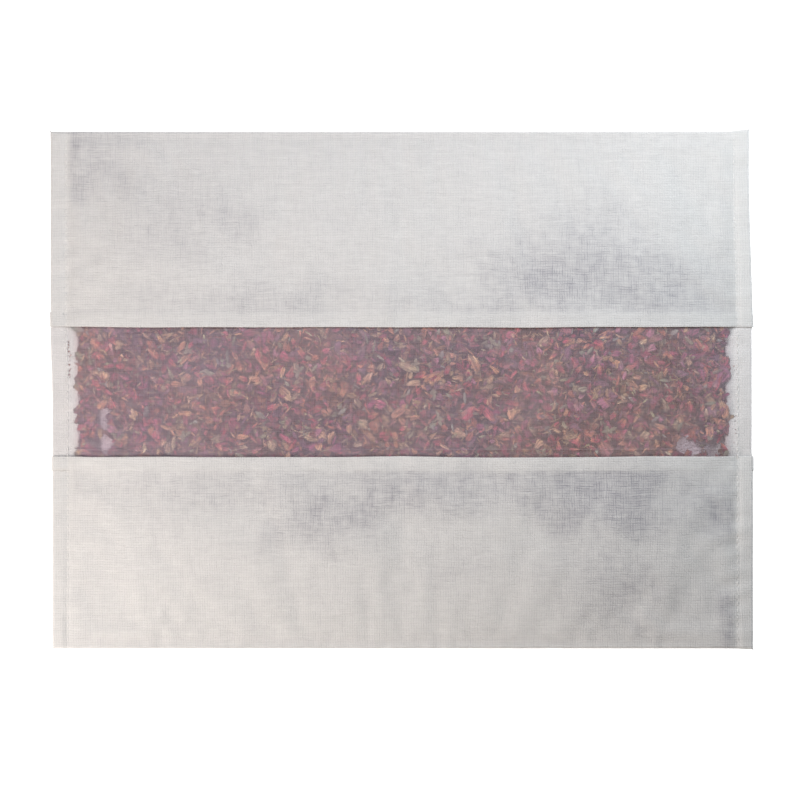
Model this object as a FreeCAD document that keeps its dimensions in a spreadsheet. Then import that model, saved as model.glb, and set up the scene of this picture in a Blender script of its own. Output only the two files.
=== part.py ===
import FreeCAD, Part
import math
import os
import random

import Sketcher

# Eye pillow: a turned linen cushion whose front has a sheer organza window, with dried rose
# petals inside.
#
# Frame: millimetres, +Z up. The pillow lies on its back. The origin is the centre of its
# footprint, on the surface it rests on. +X runs across the width and +Y towards the top edge.
#
# From the table up: linen back panel, loose fill, organza window, linen front panels. The
# chamber that holds the fill is the space inside the flanges and the edge bands.

Vector = FreeCAD.Vector
Rotation = FreeCAD.Rotation
Z_AXIS = Vector(0, 0, 1)

# Driving dimensions in millimetres (counts and exponents are plain numbers).
DRIVING = {
    "overall_width": (240.0, "across both side flanges"),
    "overall_depth": (177.0, "from the bottom edge to the top edge"),
    "flange_width": (6.0, "flat band outside each side topstitch"),
    "edge_band": (2.0, "flat band along the top and bottom edges"),
    "window_above": (21.3, "origin to the upper panel's fold"),
    "window_below": (22.5, "origin to the lower panel's fold"),
    "hem_depth": (5.0, "seam allowance folded under at the window"),
    "linen": (0.4, "thickness of the linen"),
    "organza": (0.15, "thickness of the organza"),
    "ply_gap": (0.1, "air between plies that touch"),
    "seam_height": (3.0, "underside of the flanges above the table"),
    "rest_inset": (15.0, "run of the back panel's sloping border"),
    "crown_rise": (12.0, "rise of the front above the flanges"),
    "crown_power": (4.0, "exponent of the crown, higher is flatter"),
    "thread": (0.35, "diameter of the sewing thread"),
    "stitch": (1.9, "visible length of one stitch"),
    "stitch_pitch": (2.4, "one stitch and the gap after it"),
    "topstitch_inset": (0.6, "topstitch outside the chamber's edge"),
    "seam_inset": (1.2, "hidden seams inside the outline"),
    "fold_inset": (0.8, "window seams behind the panel folds"),
    "fill_inset": (8.5, "packed fill inside the chamber's edge"),
    "fill_floor": (0.35, "air between the fill and the back panel"),
    "loose_layer": (2.9, "depth of the loose pieces under the organza"),
    "petal_length": (6.2, "longest petal, from base to rim"),
    "petal_width": (5.0, "longest petal, across"),
    "petal_cup": (5.5, "radius that a petal is cupped to"),
    "petal": (0.2, "thickness of a petal"),
    "calyx_reach": (2.9, "centre of a calyx to a sepal's tip"),
    "sepal_width": (1.5, "width of one sepal at its base"),
    "calyx_cup": (1.1, "radius of a calyx's round base"),
    "leaf_length": (6.0, "leaf flake, tip to tip"),
    "leaf_width": (2.6, "leaf flake, across"),
    "stem_length": (5.6, "stalk, end to end"),
    "stem_radius": (0.35, "stalk at its thick end"),
    "loose_pitch": (6.7, "spacing of the loose pieces"),
    "loose_margin": (3.4, "loose pieces reach this far under the folds"),
}

# Relations between the driving dimensions, as spreadsheet expressions.
CHAMBER_WIDTH = "(Sheet.overall_width - 2 * Sheet.flange_width)"
CHAMBER_DEPTH = "(Sheet.overall_depth - 2 * Sheet.edge_band)"
REST_WIDTH = f"({CHAMBER_WIDTH} - 2 * Sheet.rest_inset)"
REST_DEPTH = f"({CHAMBER_DEPTH} - 2 * Sheet.rest_inset)"
RING_TOP = "(Sheet.seam_height + 2 * Sheet.linen)"
ORGANZA_FLANGE = f"({RING_TOP} + Sheet.thread + 2 * Sheet.ply_gap)"
WINDOW_BASE = f"({ORGANZA_FLANGE} + Sheet.organza)"
FACE_BASE = f"({WINDOW_BASE} + Sheet.organza + Sheet.ply_gap + Sheet.linen)"
TOPSTITCH_X = f"({CHAMBER_WIDTH} / 2 + Sheet.topstitch_inset)"
HIDDEN_SEAM_Z = f"({RING_TOP} + Sheet.ply_gap + Sheet.thread / 2)"
LINEN_STITCH_Z = f"({FACE_BASE} + Sheet.linen + Sheet.ply_gap + Sheet.thread / 2)"
ORGANZA_STITCH_Z = f"({WINDOW_BASE} + Sheet.organza + Sheet.ply_gap + Sheet.thread / 2)"
UNDER_STITCH_Z = "(Sheet.seam_height - Sheet.ply_gap - Sheet.thread / 2)"

# Loft stations across the chamber, as fractions of its half width, closer at the ends.
STATIONS = (-1.0, -0.96, -0.88, -0.75, -0.55, -0.3, 0.0, 0.3, 0.55, 0.75, 0.88, 0.96, 1.0)
CURVE_POINTS = 15
FILL_BASE_POWER = 10  # a high exponent keeps the fill's underside flat almost to its border
SEED = 11
LOOSE_SHARES = {
    "crimson_petals": 46,
    "pink_petals": 18,
    "amber_petals": 20,
    "calyxes": 4,
    "leaf_flakes": 5,
    "stems": 7,
}
PETAL_SCALES = {"crimson_petals": 1.0, "pink_petals": 0.9, "amber_petals": 0.78}
LOOSE_TILT_DEG = 7.0


# --- the sheet -------------------------------------------------------------------------------


def make_sheet(doc):
    sheet = doc.addObject("Spreadsheet::Sheet", "Sheet")
    for row, (alias, (value, meaning)) in enumerate(DRIVING.items(), start=1):
        sheet.set(f"A{row}", alias)
        sheet.set(f"B{row}", str(value))
        sheet.set(f"C{row}", meaning)
        sheet.setAlias(f"B{row}", alias)
    doc.recompute()
    return sheet


def number(sheet, expression):
    """The value of a spreadsheet expression, for the shapes that code works out."""
    return float(sheet.evalExpression(expression))


# --- crowned surfaces ------------------------------------------------------------------------


class Crown:
    """Heights of the front of the pillow, worked out from the sheet."""

    def __init__(self, sheet):
        self.half_width = number(sheet, CHAMBER_WIDTH) / 2
        self.half_depth = number(sheet, CHAMBER_DEPTH) / 2
        self.rise = number(sheet, "Sheet.crown_rise")
        self.power = number(sheet, "Sheet.crown_power")
        self.face_base = number(sheet, FACE_BASE)
        self.window_base = number(sheet, WINDOW_BASE)

    def lift(self, x, y):
        across = max(0.0, 1 - abs(x / self.half_width) ** self.power)
        along = max(0.0, 1 - abs(y / self.half_depth) ** self.power)
        return self.rise * across * along

    def face(self, x, y):
        """Underside of the linen front."""
        return self.face_base + self.lift(x, y)

    def window(self, x, y):
        """Underside of the organza."""
        return self.window_base + self.lift(x, y)

    def normal(self, x, y, step=0.5):
        slope_x = (self.lift(x + step, y) - self.lift(x - step, y)) / (2 * step)
        slope_y = (self.lift(x, y + step) - self.lift(x, y - step)) / (2 * step)
        return Vector(-slope_x, -slope_y, 1).normalize()


def section_curve(x, start, end, height):
    """A smooth edge in the plane of one x, from start to end along y."""
    points = []
    for i in range(CURVE_POINTS):
        y = start + (end - start) * i / (CURVE_POINTS - 1)
        points.append(Vector(x, y, height(x, y)))
    curve = Part.BSplineCurve()
    curve.interpolate(points)
    return curve.toShape()


def section_lines(x, corners):
    """Straight edges in the plane of one x through (y, z) corners."""
    points = [Vector(x, y, z) for y, z in corners]
    return [Part.LineSegment(a, b).toShape() for a, b in zip(points, points[1:])]


def loft(wires):
    """A closed solid through cross-sections that all have the same number of edges."""
    shape = Part.makeLoft(wires, True, False)
    solid = shape.Solids[0]
    if solid.Volume < 0:
        solid.reverse()
    return solid


def slab(low, high):
    """An axis-aligned block between two corners given in any order."""
    corner = Vector(*(min(a, b) for a, b in zip(low, high)))
    size = [abs(a - b) for a, b in zip(low, high)]
    return Part.makeBox(*size, corner)


def add_shape(doc, label, shape):
    feature = doc.addObject("Part::Feature", label)
    feature.Shape = shape
    feature.Placement = FreeCAD.Placement()
    return feature


def front_panel(doc, sheet, crown, label, side, fold):
    """A linen front panel: crowned face, hem folded under at the window, flanges and lips.

    side is +1 for the panel above the window and -1 for the one below.
    """
    linen = number(sheet, "Sheet.linen")
    hem = number(sheet, "Sheet.hem_depth")
    lip_foot = number(sheet, RING_TOP) + number(sheet, "Sheet.ply_gap")
    outline_x = number(sheet, "Sheet.overall_width") / 2
    outline_y = number(sheet, "Sheet.overall_depth") / 2
    chamber_x = crown.half_width
    chamber_y = crown.half_depth
    base = crown.face_base

    def hem_underside(x, y):
        return crown.face(x, y) - linen

    def face_top(x, y):
        return crown.face(x, y) + linen

    def cross_section(x):
        hem_end = side * (fold + hem)
        band = side * chamber_y
        rim = side * outline_y
        lip = side * (outline_y - linen)
        edges = [section_curve(x, side * fold, hem_end, hem_underside)]
        step = [(hem_end, hem_underside(x, hem_end)), (hem_end, crown.face(x, hem_end))]
        edges += section_lines(x, step)
        edges.append(section_curve(x, hem_end, band, crown.face))
        border = [(band, base), (band, base - linen), (lip, base - linen), (lip, lip_foot)]
        border += [(rim, lip_foot), (rim, base + linen), (band, base + linen)]
        edges += section_lines(x, border)
        edges.append(section_curve(x, band, side * fold, face_top))
        bend = side * fold
        edges += section_lines(x, [(bend, face_top(x, bend)), (bend, hem_underside(x, bend))])
        return Part.Wire(edges)

    shape = loft([cross_section(f * chamber_x) for f in STATIONS])
    for hand in (-1, 1):
        inner = hand * chamber_x
        outer = hand * outline_x
        start = side * fold
        rim = side * outline_y
        flange = slab((inner, start, base - linen), (outer, rim, base + linen))
        side_lip = slab((outer - hand * linen, start, lip_foot), (outer, rim, base - linen))
        edge_lip = slab((inner, rim - side * linen, lip_foot), (outer, rim, base - linen))
        shape = shape.fuse([flange, side_lip, edge_lip])
    return add_shape(doc, label, shape.removeSplitter())


def organza_window(doc, sheet, crown):
    """The sheer strip: crowned over the fill, tucked under both hems and turned at the sides."""
    ply = number(sheet, "Sheet.organza")
    gap = number(sheet, "Sheet.ply_gap")
    linen = number(sheet, "Sheet.linen")
    hem = number(sheet, "Sheet.hem_depth")
    above = number(sheet, "Sheet.window_above")
    below = number(sheet, "Sheet.window_below")
    lip_foot = number(sheet, RING_TOP) + gap
    outline_x = number(sheet, "Sheet.overall_width") / 2
    base = crown.window_base
    low = -(below + hem)
    high = above + hem

    def top(x, y):
        return crown.window(x, y) + ply

    def cross_section(x):
        edges = [section_curve(x, low, high, crown.window)]
        edges += section_lines(x, [(high, crown.window(x, high)), (high, top(x, high))])
        edges.append(section_curve(x, high, low, top))
        edges += section_lines(x, [(low, top(x, low)), (low, crown.window(x, low))])
        return Part.Wire(edges)

    shape = loft([cross_section(f * crown.half_width) for f in STATIONS])
    for hand in (-1, 1):
        inner = hand * crown.half_width
        outer = hand * outline_x
        tucked = outer - hand * (linen + gap)
        flange = slab((inner, low, base - ply), (tucked, high, base + ply))
        turned = slab((tucked, gap - below, base - ply), (outer, above - gap, base + ply))
        lip = slab((outer - hand * ply, gap - below, lip_foot), (outer, above - gap, base - ply))
        shape = shape.fuse([flange, turned, lip])
    return add_shape(doc, "organza_window", shape.removeSplitter())


def packed_petals(doc, sheet, crown):
    """The settled fill, as one lens-shaped cushion under the loose top layer."""
    inset = number(sheet, "Sheet.fill_inset")
    loose = number(sheet, "Sheet.loose_layer")
    linen = number(sheet, "Sheet.linen")
    floor = linen + number(sheet, "Sheet.fill_floor")
    seam = number(sheet, "Sheet.seam_height")
    half_x = crown.half_width - inset
    half_y = crown.half_depth - inset
    border_rise = seam * (1 - inset / number(sheet, "Sheet.rest_inset"))
    edge_lift = border_rise + number(sheet, "Sheet.ply_gap")

    def underside(x, y):
        across = 1 - abs(x / half_x) ** FILL_BASE_POWER
        along = 1 - abs(y / half_y) ** FILL_BASE_POWER
        return floor + edge_lift * (1 - across * along)

    def top(x, y):
        return crown.window(x, y) - loose

    def cross_section(x):
        edges = [section_curve(x, -half_y, half_y, underside)]
        edges += section_lines(x, [(half_y, underside(x, half_y)), (half_y, top(x, half_y))])
        edges.append(section_curve(x, half_y, -half_y, top))
        edges += section_lines(x, [(-half_y, top(x, -half_y)), (-half_y, underside(x, -half_y))])
        return Part.Wire(edges)

    return add_shape(doc, "packed_petals", loft([cross_section(f * half_x) for f in STATIONS]))


# --- sketches --------------------------------------------------------------------------------


def origin_feature(body, role):
    return next(f for f in body.Origin.OriginFeatures if f.Role == role)


def new_sketch(body, name, role="XY_Plane", offset=None):
    sketch = body.newObject("Sketcher::SketchObject", name)
    sketch.AttachmentSupport = [(origin_feature(body, role), "")]
    sketch.MapMode = "FlatFace"
    if offset:
        sketch.setExpression("AttachmentOffset.Base.z", offset)
    return sketch


def bind(sketch, name, constraint, expression):
    """Adds a dimension to a sketch and ties it to the sheet."""
    index = sketch.addConstraint(constraint)
    sketch.renameConstraint(index, name)
    sketch.setExpression(f"Constraints.{name}", expression)


def centred_rectangle(body, name, width, depth, height=None):
    sketch = new_sketch(body, name, offset=height)
    half = 10.0
    corners = [(-half, -half), (half, -half), (half, half), (-half, half)]
    points = [Vector(x, y, 0) for x, y in corners]
    for i in range(4):
        sketch.addGeometry(Part.LineSegment(points[i], points[(i + 1) % 4]))
    for i in range(4):
        sketch.addConstraint(Sketcher.Constraint("Coincident", i, 2, (i + 1) % 4, 1))
        sketch.addConstraint(Sketcher.Constraint("Horizontal" if i % 2 == 0 else "Vertical", i))
    sketch.addConstraint(Sketcher.Constraint("Symmetric", 0, 1, 1, 2, -1, 1))
    bind(sketch, "width", Sketcher.Constraint("DistanceX", 0, 1, 0, 2, 2 * half), width)
    bind(sketch, "depth", Sketcher.Constraint("DistanceY", 1, 1, 1, 2, 2 * half), depth)
    return sketch


# --- back panel ------------------------------------------------------------------------------


def back_panel(doc):
    """A shallow tray of linen: flat where it rests, sloping border, doubled edge all round."""
    body = doc.addObject("PartDesign::Body", "linen_back_panel")
    rest = centred_rectangle(body, "RestOutline", REST_WIDTH, REST_DEPTH)
    seam = centred_rectangle(
        body, "SeamOutline", CHAMBER_WIDTH, CHAMBER_DEPTH, "Sheet.seam_height"
    )
    tray = body.newObject("PartDesign::AdditiveLoft", "Tray")
    tray.Profile = rest
    tray.Sections = [seam]
    outline = centred_rectangle(
        body, "FlangeOutline", "Sheet.overall_width", "Sheet.overall_depth", "Sheet.seam_height"
    )
    band = body.newObject("PartDesign::Pad", "DoubledEdge")
    band.Profile = outline
    band.setExpression("Length", "2 * Sheet.linen")
    doc.recompute()
    before = band.Shape.Volume

    inner_rest = centred_rectangle(body, "InnerRest", REST_WIDTH, REST_DEPTH, "Sheet.linen")
    inner_seam = centred_rectangle(
        body, "InnerSeam", CHAMBER_WIDTH, CHAMBER_DEPTH, "Sheet.seam_height + Sheet.linen"
    )
    hollow = body.newObject("PartDesign::SubtractiveLoft", "Hollow")
    hollow.Profile = inner_rest
    hollow.Sections = [inner_seam]
    doc.recompute()
    opening = centred_rectangle(body, "Opening", CHAMBER_WIDTH, CHAMBER_DEPTH, RING_TOP)
    mouth = body.newObject("PartDesign::Pocket", "Mouth")
    mouth.Profile = opening
    mouth.setExpression("Length", "Sheet.linen")
    doc.recompute()
    if not mouth.Shape.Volume < hollow.Shape.Volume < before:
        raise RuntimeError("the back panel was not hollowed")
    return body


# --- sewing thread ---------------------------------------------------------------------------


def stitch_body(doc, name):
    """One stitch: a round-ended bar of thread along its own Y axis, centred on its origin."""
    body = doc.addObject("PartDesign::Body", name)
    sketch = new_sketch(body, f"{name}Outline")
    radius, half = 0.2, 1.0
    centre = half - radius
    sketch.addGeometry(Part.LineSegment(Vector(0, -half, 0), Vector(0, half, 0)))
    upper = Part.Circle(Vector(0, centre, 0), Z_AXIS, radius)
    sketch.addGeometry(Part.ArcOfCircle(upper, 0, math.pi / 2))
    sketch.addGeometry(Part.LineSegment(Vector(radius, -centre, 0), Vector(radius, centre, 0)))
    lower = Part.Circle(Vector(0, -centre, 0), Z_AXIS, radius)
    sketch.addGeometry(Part.ArcOfCircle(lower, -math.pi / 2, 0))
    constraints = [
        Sketcher.Constraint("Coincident", 0, 2, 1, 2),
        Sketcher.Constraint("Tangent", 1, 1, 2, 2),
        Sketcher.Constraint("Tangent", 2, 1, 3, 2),
        Sketcher.Constraint("Coincident", 3, 1, 0, 1),
        Sketcher.Constraint("PointOnObject", 0, 1, -2),
        Sketcher.Constraint("Symmetric", 0, 1, 0, 2, -1, 1),
        Sketcher.Constraint("PointOnObject", 1, 3, -2),
        Sketcher.Constraint("PointOnObject", 3, 3, -2),
        Sketcher.Constraint("Equal", 1, 3),
    ]
    sketch.addConstraint(constraints)
    bind(sketch, "span", Sketcher.Constraint("DistanceY", 0, 1, 0, 2, 2 * half), "Sheet.stitch")
    bind(sketch, "round_end", Sketcher.Constraint("Radius", 1, radius), "Sheet.thread / 2")
    bar = body.newObject("PartDesign::Revolution", f"{name}Bar")
    bar.Profile = sketch
    bar.ReferenceAxis = (sketch, ["V_Axis"])
    bar.Angle = 360
    return body, bar


def stitch_row(doc, name, start, end, place, along_x=False):
    """A straight row of stitches from start to end, which are expressions along the row.

    place gives the expressions of the two coordinates that the whole row shares.
    """
    body, bar = stitch_body(doc, name)
    row = body.newObject("PartDesign::LinearPattern", f"{name}Repeat")
    row.Originals = [bar]
    row.Direction = (origin_feature(body, "Y_Axis"), [""])
    count = f"floor(({end} - {start}) / Sheet.stitch_pitch)"
    row.setExpression("Occurrences", count)
    row.setExpression("Length", f"({count} - 1) * Sheet.stitch_pitch")
    body.Tip = row
    first = f"{start} + Sheet.stitch_pitch / 2"
    if along_x:
        body.Placement = FreeCAD.Placement(Vector(), Rotation(Z_AXIS, -90))
        coordinates = {"x": first, "y": place[0], "z": place[1]}
    else:
        coordinates = {"x": place[0], "y": first, "z": place[1]}
    for axis, expression in coordinates.items():
        body.setExpression(f"Placement.Base.{axis}", expression)
    return body


def group(doc, label, members):
    compound = doc.addObject("Part::Compound", label)
    compound.Links = members
    return compound


def topstitch(doc, label, hand):
    """The row of thread along a side flange: over both linen panels, down onto the organza
    in the window, and along the underside."""
    x = f"{hand} * {TOPSTITCH_X}"
    end = "(Sheet.overall_depth / 2 - Sheet.edge_band)"
    clear = "2 * Sheet.ply_gap"
    below_fold = f"(-Sheet.window_below - {clear})"
    window_low = f"({clear} - Sheet.window_below)"
    window_high = f"(Sheet.window_above - {clear})"
    above_fold = f"(Sheet.window_above + {clear})"
    rows = {
        "Lower": (f"-{end}", below_fold, LINEN_STITCH_Z),
        "Window": (window_low, window_high, ORGANZA_STITCH_Z),
        "Upper": (above_fold, end, LINEN_STITCH_Z),
        "Under": (f"-{end}", end, UNDER_STITCH_Z),
    }
    members = []
    for part, (start, stop, height) in rows.items():
        members.append(stitch_row(doc, f"{label}_{part}", start, stop, (x, height)))
    return group(doc, label, members)


def edge_seams(doc):
    """The hidden seams that join front to back inside the turned edges. The right side has
    none: it is the filling opening, and its topstitch closes it."""
    reach = f"({CHAMBER_WIDTH} / 2)"
    offset = "(Sheet.overall_depth / 2 - Sheet.seam_inset)"
    seams = []
    for label, sign in (("top_edge_seam", ""), ("bottom_edge_seam", "-")):
        place = (f"{sign}{offset}", HIDDEN_SEAM_Z)
        seams.append(stitch_row(doc, label, f"-{reach}", reach, place, along_x=True))
    x = "-(Sheet.overall_width / 2 - Sheet.seam_inset)"
    reach = "(Sheet.overall_depth / 2 - 2 * Sheet.edge_band)"
    seams.append(stitch_row(doc, "left_edge_seam", f"-{reach}", reach, (x, HIDDEN_SEAM_Z)))
    return seams


def window_seam(doc, sheet, crown, label, stitch, y):
    """A hidden seam along a fold: stitches under the organza that follow the crown."""
    pitch = number(sheet, "Sheet.stitch_pitch")
    drop = number(sheet, "Sheet.thread / 2 + Sheet.ply_gap")
    count = int(2 * crown.half_width // pitch) - 1
    shapes = []
    for i in range(count):
        x = (i - (count - 1) / 2) * pitch
        slope = Vector(pitch, 0, crown.lift(x + pitch / 2, y) - crown.lift(x - pitch / 2, y))
        copy = stitch.Shape.copy()
        turn = Rotation(Vector(0, 1, 0), slope)
        copy.Placement = FreeCAD.Placement(Vector(x, y, crown.window(x, y) - drop), turn)
        shapes.append(copy)
    return add_shape(doc, label, Part.makeCompound(shapes))


# --- dried flowers ---------------------------------------------------------------------------


def petal_outline(doc, name, scale):
    """A teardrop prism that stands across the cupped shell's lowest part."""
    body = doc.addObject("PartDesign::Body", f"{name}Outline")
    sketch = new_sketch(body, f"{name}Teardrop")
    radius, tip, centre = 2.5, -3.0, 0.6
    wide = Part.Circle(Vector(0, centre, 0), Z_AXIS, radius)
    sketch.addGeometry(Part.ArcOfCircle(wide, math.radians(-40), math.radians(220)))
    sketch.addGeometry(Part.LineSegment(Vector(0, tip, 0), Vector(2, -1, 0)))
    sketch.addGeometry(Part.LineSegment(Vector(-2, -1, 0), Vector(0, tip, 0)))
    constraints = [
        Sketcher.Constraint("Tangent", 0, 1, 1, 2),
        Sketcher.Constraint("Tangent", 0, 2, 2, 1),
        Sketcher.Constraint("Coincident", 1, 1, 2, 2),
        Sketcher.Constraint("PointOnObject", 0, 3, -2),
        Sketcher.Constraint("PointOnObject", 1, 1, -2),
    ]
    sketch.addConstraint(constraints)
    length = f"{scale} * Sheet.petal_length"
    width = f"{scale} * Sheet.petal_width"
    bind(sketch, "half_width", Sketcher.Constraint("Radius", 0, radius), f"{width} / 2")
    bind(sketch, "base", Sketcher.Constraint("DistanceY", 1, 1, -1, 1, -tip), f"{length} / 2")
    reach = Sketcher.Constraint("DistanceY", 1, 1, 0, 3, centre - tip)
    bind(sketch, "reach", reach, f"{length} - {width} / 2")
    prism = body.newObject("PartDesign::Pad", f"{name}Prism")
    prism.Profile = sketch
    prism.setExpression("Length", "Sheet.petal_cup")
    body.setExpression("Placement.Base.z", "-1.5 * Sheet.petal_cup")
    return body


def petal_blank(doc, name, scale):
    """One dried petal: the part of a thin round shell that a teardrop outline takes."""
    spheres = []
    for part, radius in (("Outer", "Sheet.petal_cup"), ("Inner", "Sheet.petal_cup - Sheet.petal")):
        sphere = doc.addObject("Part::Sphere", f"{name}{part}")
        sphere.setExpression("Radius", radius)
        sphere.Placement = FreeCAD.Placement(Vector(), Rotation(Vector(1, 0, 0), 90))
        spheres.append(sphere)
    shell = doc.addObject("Part::Cut", f"{name}Shell")
    shell.Base, shell.Tool = spheres
    blank = doc.addObject("Part::Common", f"{name}Blank")
    blank.Base = shell
    blank.Tool = petal_outline(doc, name, scale)
    return blank


def calyx_blank(doc):
    """One calyx: a round cup with five pointed sepals."""
    body = doc.addObject("PartDesign::Body", "CalyxBlank")
    sketch = new_sketch(body, "SepalOutline")
    base, tip = 0.8, 3.0
    sketch.addGeometry(Part.LineSegment(Vector(0, -base, 0), Vector(0, base, 0)))
    sketch.addGeometry(Part.LineSegment(Vector(0, base, 0), Vector(tip, 0, 0)))
    sketch.addGeometry(Part.LineSegment(Vector(tip, 0, 0), Vector(0, -base, 0)))
    constraints = [
        Sketcher.Constraint("Coincident", 0, 2, 1, 1),
        Sketcher.Constraint("Coincident", 1, 2, 2, 1),
        Sketcher.Constraint("Coincident", 2, 2, 0, 1),
        Sketcher.Constraint("Symmetric", 0, 1, 0, 2, -1, 1),
        Sketcher.Constraint("Vertical", 0),
        Sketcher.Constraint("PointOnObject", 1, 2, -1),
    ]
    sketch.addConstraint(constraints)
    bind(sketch, "across", Sketcher.Constraint("DistanceY", 0, 1, 0, 2, 2 * base), "Sheet.sepal_width")
    bind(sketch, "reach", Sketcher.Constraint("DistanceX", -1, 1, 1, 2, tip), "Sheet.calyx_reach")
    sepal = body.newObject("PartDesign::Pad", "Sepal")
    sepal.Profile = sketch
    sepal.setExpression("Length", "Sheet.petal")
    doc.recompute()
    star = body.newObject("PartDesign::PolarPattern", "Sepals")
    star.Originals = [sepal]
    star.Axis = (origin_feature(body, "Z_Axis"), [""])
    star.Angle = 360
    star.Occurrences = 5
    body.Tip = star
    doc.recompute()
    round_base = new_sketch(body, "CupOutline")
    round_base.addGeometry(Part.Circle(Vector(), Z_AXIS, 1.0))
    round_base.addConstraint(Sketcher.Constraint("Coincident", 0, 3, -1, 1))
    bind(round_base, "cup", Sketcher.Constraint("Radius", 0, 1.0), "Sheet.calyx_cup")
    cup = body.newObject("PartDesign::Pad", "Cup")
    cup.Profile = round_base
    cup.setExpression("Length", "Sheet.calyx_cup")
    body.Tip = cup
    return body


def leaf_blank(doc):
    """One leaf flake: a thin lens-shaped plate between two arcs."""
    body = doc.addObject("PartDesign::Body", "LeafBlank")
    sketch = new_sketch(body, "LeafOutline")
    half, sagitta = 3.0, 1.3
    left, right = Vector(-half, 0, 0), Vector(half, 0, 0)
    sketch.addGeometry(Part.Arc(right, Vector(0, sagitta, 0), left))
    sketch.addGeometry(Part.Arc(left, Vector(0, -sagitta, 0), right))
    constraints = [
        Sketcher.Constraint("Coincident", 0, 2, 1, 1),
        Sketcher.Constraint("Coincident", 1, 2, 0, 1),
        Sketcher.Constraint("Symmetric", 0, 1, 0, 2, -1, 1),
        Sketcher.Constraint("PointOnObject", 0, 1, -1),
        Sketcher.Constraint("Equal", 0, 1),
    ]
    sketch.addConstraint(constraints)
    bind(sketch, "tips", Sketcher.Constraint("DistanceX", 0, 2, 0, 1, 2 * half), "Sheet.leaf_length")
    bulge = "(Sheet.leaf_length ^ 2 / 4 + Sheet.leaf_width ^ 2 / 4) / Sheet.leaf_width"
    bend = (half**2 + sagitta**2) / (2 * sagitta)
    bind(sketch, "bend", Sketcher.Constraint("Radius", 0, bend), bulge)
    plate = body.newObject("PartDesign::Pad", "LeafPlate")
    plate.Profile = sketch
    plate.setExpression("Length", "Sheet.petal")
    return body


def stem_blank(doc):
    """One stalk: a slender tapering rod that lies along its own X axis."""
    stem = doc.addObject("Part::Cone", "StemBlank")
    stem.setExpression("Radius1", "Sheet.stem_radius")
    stem.setExpression("Radius2", "Sheet.stem_radius / 2")
    stem.setExpression("Height", "Sheet.stem_length")
    stem.Placement = FreeCAD.Placement(Vector(), Rotation(Vector(0, 1, 0), 90))
    stem.setExpression("Placement.Base.x", "-Sheet.stem_length / 2")
    return stem


def loose_places(sheet, crown):
    """Where each loose piece lies under the organza, by kind. The pieces stand on a grid wider
    than the longest piece, so they can't touch."""
    pitch = number(sheet, "Sheet.loose_pitch")
    margin = number(sheet, "Sheet.loose_margin")
    depth = number(sheet, "Sheet.loose_layer") / 2
    jitter = (pitch - number(sheet, "Sheet.petal_length")) / 2
    half_x = crown.half_width - number(sheet, "Sheet.fill_inset") - pitch / 2
    low = -number(sheet, "Sheet.window_below") - margin + pitch / 2
    high = number(sheet, "Sheet.window_above") + margin - pitch / 2
    columns = int(2 * half_x // pitch) + 1
    rows = int((high - low) // pitch) + 1
    chance = random.Random(SEED)
    places = {kind: [] for kind in LOOSE_SHARES}
    for column in range(columns):
        for row in range(rows):
            x = (column - (columns - 1) / 2) * pitch + chance.uniform(-jitter, jitter)
            y = low + (high - low) * row / (rows - 1) + chance.uniform(-jitter, jitter)
            kind = chance.choices(list(LOOSE_SHARES), list(LOOSE_SHARES.values()))[0]
            lean = Rotation(Z_AXIS, crown.normal(x, y))
            spin = Rotation(Z_AXIS, chance.uniform(0, 360))
            tilt = Rotation(Vector(1, 0, 0), chance.uniform(-LOOSE_TILT_DEG, LOOSE_TILT_DEG))
            place = Vector(x, y, crown.window(x, y)) - crown.normal(x, y) * depth
            places[kind].append(FreeCAD.Placement(place, lean * spin * tilt))
    return places


def scattered(doc, label, blank, places):
    """Copies of one blank, each centred on its own place, as separate solids of one node."""
    centre = FreeCAD.Placement(-blank.Shape.BoundBox.Center, Rotation())
    shapes = []
    for place in places:
        copy = blank.Shape.copy()
        copy.Placement = place * centre * copy.Placement
        shapes.append(copy)
    return add_shape(doc, label, Part.makeCompound(shapes))


def loose_pieces(doc, sheet, crown):
    blanks = {kind: petal_blank(doc, kind, scale) for kind, scale in PETAL_SCALES.items()}
    blanks["calyxes"] = calyx_blank(doc)
    blanks["leaf_flakes"] = leaf_blank(doc)
    blanks["stems"] = stem_blank(doc)
    doc.recompute()
    places = loose_places(sheet, crown)
    return [scattered(doc, kind, blanks[kind], places[kind]) for kind in LOOSE_SHARES]


# --- the whole pillow ------------------------------------------------------------------------


def check(doc, pieces):
    for item in doc.Objects:
        if "Invalid" in item.State or "Error" in item.State:
            raise RuntimeError(f"{item.Name} failed: {item.State}")
    for piece in pieces:
        if piece.Shape.isNull() or not piece.Shape.isValid():
            raise RuntimeError(f"{piece.Label} has no valid shape")
        if not all(solid.Volume > 0 for solid in piece.Shape.Solids):
            raise RuntimeError(f"{piece.Label} holds an inside-out solid")


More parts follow.
